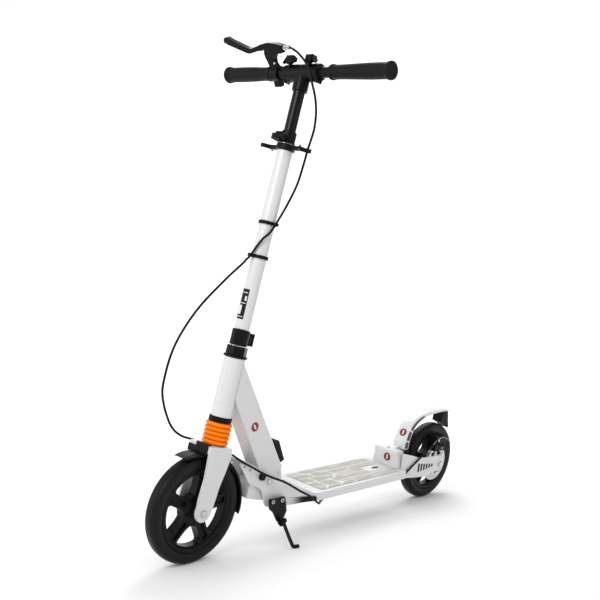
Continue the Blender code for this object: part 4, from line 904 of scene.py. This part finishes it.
def make_grip(sign, side):
    """A moulded rubber grip: a collar, a waist, a soft swell, and a rounded end with a shallow dish."""
    start = GRIP_START[side]
    shape = [(0.0119, start)] + [(r, start + y) for r, y in GRIP_COLLAR]
    swell = [(0.0149, 0, start + 0.0140), (0.0150, 0, start + 0.0320), (0.0160, 0, 0.1500),
             (0.0166, 0, 0.1880), (0.0164, 0, 0.2150), (0.0166, 0, 0.2270)]
    shape += [(p.x, p.z) for p in smooth_path(swell, 8)]
    shape += [(0.0174, 0.2280), (0.0184, 0.2296), (0.0187, 0.2330), (0.0181, 0.2352), (0.0163, 0.2366),
              (0.0118, 0.2368), (0.0108, 0.2358), (0.0060, 0.2356), (0.0060, 0.2334), (0.0119, 0.2334)]
    grip = lathe("grip", [(r, sign * h) for r, h in shape], 96, "y", (0, 0, BAR_S))
    show(soften(grip, 0, shade=40), "grip_%s_fine" % side, "bar_" + side, "rubber", RUBBER, "grip_" + side,
         STEERING)
    stopper = [(0, 0.2336), (0.0057, 0.2336), (0.0057, 0.2352), (0.0040, 0.2357), (0, 0.2358)]
    plug = lathe("plug", [(r, sign * h) for r, h in stopper], 48, "y", (0, 0, BAR_S))
    show(soften(plug, 0, shade=30), "bar_plug_" + side, "bar_" + side, "rubber", RUBBER, (), STEERING)


# Prints and painted shade

def object_place(tree):
    """Where a shading point lies on the object's own axes, and the same split into X, Y and Z."""
    place = node(tree, "TexCoord").outputs["Object"]
    return place, node(tree, "SeparateXYZ", {"Vector": place}).outputs


def label_paint():
    """A dark label with a few plain pale bars across it, laid out along the stem."""
    made = finish("stem_label_print", (0.006, 0.006, 0.0065), 0.35, grain=900.0, bump=0.03, mottle=0.1,
                  specular=0.2)
    tree = made.node_tree
    _, place = object_place(tree)
    bars = ((0.5235, 0.5250, -0.0078, 0.0080), (0.5290, 0.5480, -0.0010, 0.0080),
            (0.5520, 0.5535, -0.0078, 0.0080), (0.5580, 0.5680, -0.0078, -0.0040),
            (0.5745, 0.5760, -0.0078, 0.0080))
    mask = 0.0
    for low, high, left, right in bars:
        along_s = maths(tree, "COMPARE", place["Z"], (low + high) / 2, (high - low) / 2)
        over_y = maths(tree, "COMPARE", place["Y"], (left + right) / 2, (right - left) / 2)
        mask = maths(tree, "MAXIMUM", mask, maths(tree, "MULTIPLY", along_s, over_y))
    over_colour(made, mask, (0.72, 0.72, 0.71, 1))
    return made


def deck_print():
    """Warm grey abrasive sheet printed as irregular panels with pale strips between them."""
    made = finish("printed_grip_sheet", (0.46, 0.448, 0.415), 0.75, grain=1500.0, bump=0.6, mottle=0.08)
    tree = made.node_tree
    place, at = object_place(tree)
    slant = {"Vector": place, "Rotation": (0, 0, math.radians(34)), "Scale": (17.0, 36.0, 1.0)}
    panel = node(tree, "Mapping", slant).outputs["Vector"]
    cells = {"Vector": panel, "Scale": 1.0, "Randomness": 0.95}
    near, far = [node(tree, "TexVoronoi", cells, voronoi_dimensions="2D", feature=rank,
                      distance="MANHATTAN").outputs for rank in ("F1", "F2")]
    tone = node(tree, "SeparateColor", {"Color": near["Color"]}).outputs["Red"]
    pale = maths(tree, "GREATER_THAN", tone, 0.80)
    over_colour(made, maths(tree, "MULTIPLY", pale, 0.45), (0.66, 0.65, 0.63, 1))
    rear = maths(tree, "GREATER_THAN", at["X"], -0.01)
    for y in (-0.0335, 0.0310):
        line = maths(tree, "COMPARE", at["Y"], y, 0.0016)
        over_colour(made, maths(tree, "MULTIPLY", line, rear), PALE_PRINT)
    edge = maths(tree, "SUBTRACT", far["Distance"], near["Distance"])
    strip = maths(tree, "LESS_THAN", edge, 0.13)
    front = span(tree, at["X"], 0.00, 0.05, 1.0, 0.25)
    over_colour(made, maths(tree, "MULTIPLY", strip, front), PALE_PRINT)
    return made


def boot_shade_paint():
    """Black rubber that fades to the white of the plate toward its thin end; the black and the fade are
    partly painted shade and a painted dark reflection on the bracket plate's splay.
    """
    made = finish("boot_painted_shade", (0.005, 0.005, 0.0055), 0.35, grain=1200.0, bump=0.06, mottle=0.15,
                  specular=0.15)
    tree = made.node_tree
    _, at = object_place(tree)
    # Painted shade and reflection: black toward the rear, the plate's white toward the front.
    shade_fade = span(tree, at["X"], -0.1980, -0.1600, 1.0, 0.0, interpolation_type="SMOOTHSTEP")
    over_colour(made, shade_fade, (0.62, 0.62, 0.615, 1))
    return made


def paint_valley_shade():
    """Paints shade on the orange rubber: a darker orange in the valleys between its ridges."""
    tree = ORANGE.node_tree
    ridge = node(tree, "Attribute", attribute_name="ridge").outputs["Fac"]
    over_colour(ORANGE, span(tree, ridge, 0.05, 0.75, 1.0, 0.0), (0.62, 0.075, 0.0, 1))


# Sheet, vent panes of painted shade, cover and boot

def make_deck_sheet():
    """The printed sheet on the deck, notched round the slot at its rear."""
    left = [(-0.100, -0.058), (0.196, -0.058), (0.205, -0.050), (0.205, -0.034), (0.196, -0.026),
            (0.120, -0.026)]
    right = [(0.120, 0.012), (0.190, 0.012), (0.200, 0.020), (0.200, 0.046), (0.190, 0.058), (-0.100, 0.058)]
    sheet = soften(prism("sheet", rounded(left + right, 0.006, 8), 0.1182, 0.1190, "z"), 0.0002, 1, 40, 30)
    show(sheet, "grip_sheet", "deck", "grip_sheet", deck_print(), "grip_tape", ROOT, True)


def make_vent_shade_panes():
    """Dark panes in the six windows of each rear plate, lower and taller toward the front. They stand in for
    the shade in the openings and the black wheel seen through them.
    """
    for side, word in SIDES:
        panes = []
        for k in range(6):
            x = 0.3011 + 0.0125 * k
            low = 0.0966 + 0.0012 * k
            tall = 0.0233 - 0.003 * k
            window = [(x, low), (x + 0.0083, low), (x + 0.0083, low + tall), (x, low + tall)]
            panes.append(prism("pane", window, side * 0.0441, side * 0.0469))
        show(soften(merge(*panes), 0), "vent_shade_panes_" + word, "deck", "black_plastic", BLACK_PLASTIC, (),
             ROOT)


def make_crown_cover():
    """The ribbed black cover on the front of the fork's crown."""
    line = [(-0.0400, 0.2300), (-0.0378, 0.2290), (-0.0378, 0.2526), (-0.0302, 0.2526), (-0.0302, 0.2544),
            (-0.0400, 0.2550)]
    wing = [(-0.0400, 0.2300), (-0.0378, 0.2290), (-0.0378, 0.2450), (-0.0400, 0.2455)]
    rib = [(-0.0406, 0.2320), (-0.0395, 0.2310), (-0.0395, 0.2540), (-0.0406, 0.2520)]
    cover = prism("cover", line, -0.0255, 0.0115)
    join(cover, prism("wing", wing, 0.0110, 0.0338))
    for y in (-0.0170, -0.0070, 0.0030):
        join(cover, prism("rib", rib, y - 0.0008, y + 0.0008))
    show(soften(cover, 0.0005, 2, 35), "crown_cover", "fork", "black_plastic", BLACK_PLASTIC, (), STEERING)


def make_slot_inlay():
    """The dark floor of the lens-shaped slot in the deck."""
    lens = [(0.1506, -0.0070), (0.1602, -0.0121), (0.1718, -0.0121), (0.1804, -0.0070), (0.1718, -0.0019),
            (0.1602, -0.0019)]
    inlay = prism("inlay", rounded(lens, 0.003), 0.1162, 0.1174, "z")
    show(inlay, "slot_inlay", "deck", "black_plastic", BLACK_PLASTIC, (), ROOT)


def make_cable_boot():
    """The rubber boot on the left bracket plate. It thickens toward the rear, where the cable passes. Its
    paint is partly painted shade and reflection: black at the rear, fading to the plate's white toward its
    thin front end.
    """
    rows = []
    for k in range(25):
        t = k / 24
        x = -0.2050 + 0.0770 * t
        face = -(0.0305 + 0.0360 * (x + 0.2320) / 0.1004) - 0.0003
        thick = 0.0005 + 0.0073 * t ** 1.8
        low = 0.0920 + 0.0110 * t
        top = 0.1110 + 0.0015 * t
        end = 1.0 if t < 0.94 else math.sqrt(max(1 - ((t - 0.94) / 0.0605) ** 2, 0.02))
        mid = (low + top) / 2
        tall = (top - low) / 2 * end
        ring = []
        for c, d in ring_points(20):
            up = mid + tall * math.copysign(abs(d) ** 0.6, d)
            ring.append((x, face - thick * end * (0.5 + 0.5 * c), up))
        rows.append(ring)
    boot = soften(loft("boot", rows), 0, shade=60)
    show(boot, "cable_boot", "deck", "black_plastic", boot_shade_paint(), "cable_grommet", ROOT, True)


LABEL = label_paint()
# Painted shade: darker orange in the bellows' valleys.
paint_valley_shade()

make_stage()
make_cables()
for make in (make_tyre, make_rim, make_bearing):
    make("front", FRONT_AXLE, STEERING)
    make("rear", REAR_AXLE, ROOT)
make_disc()
make_front_fender()
make_rear_fender()
make_bellows()
make_stem()
for direction, hand in SIDES:
    make_grip(direction, hand)
make_knobs()
make_adjuster()
make_rivets()
make_screws()
make_brake_wire()
make_deck_sheet()
make_vent_shade_panes()
make_crown_cover()
make_slot_inlay()
make_cable_boot()
make_marks()
for part, edge in EDGES.items():
    from_cad(part, edge, PAINT.get(part))
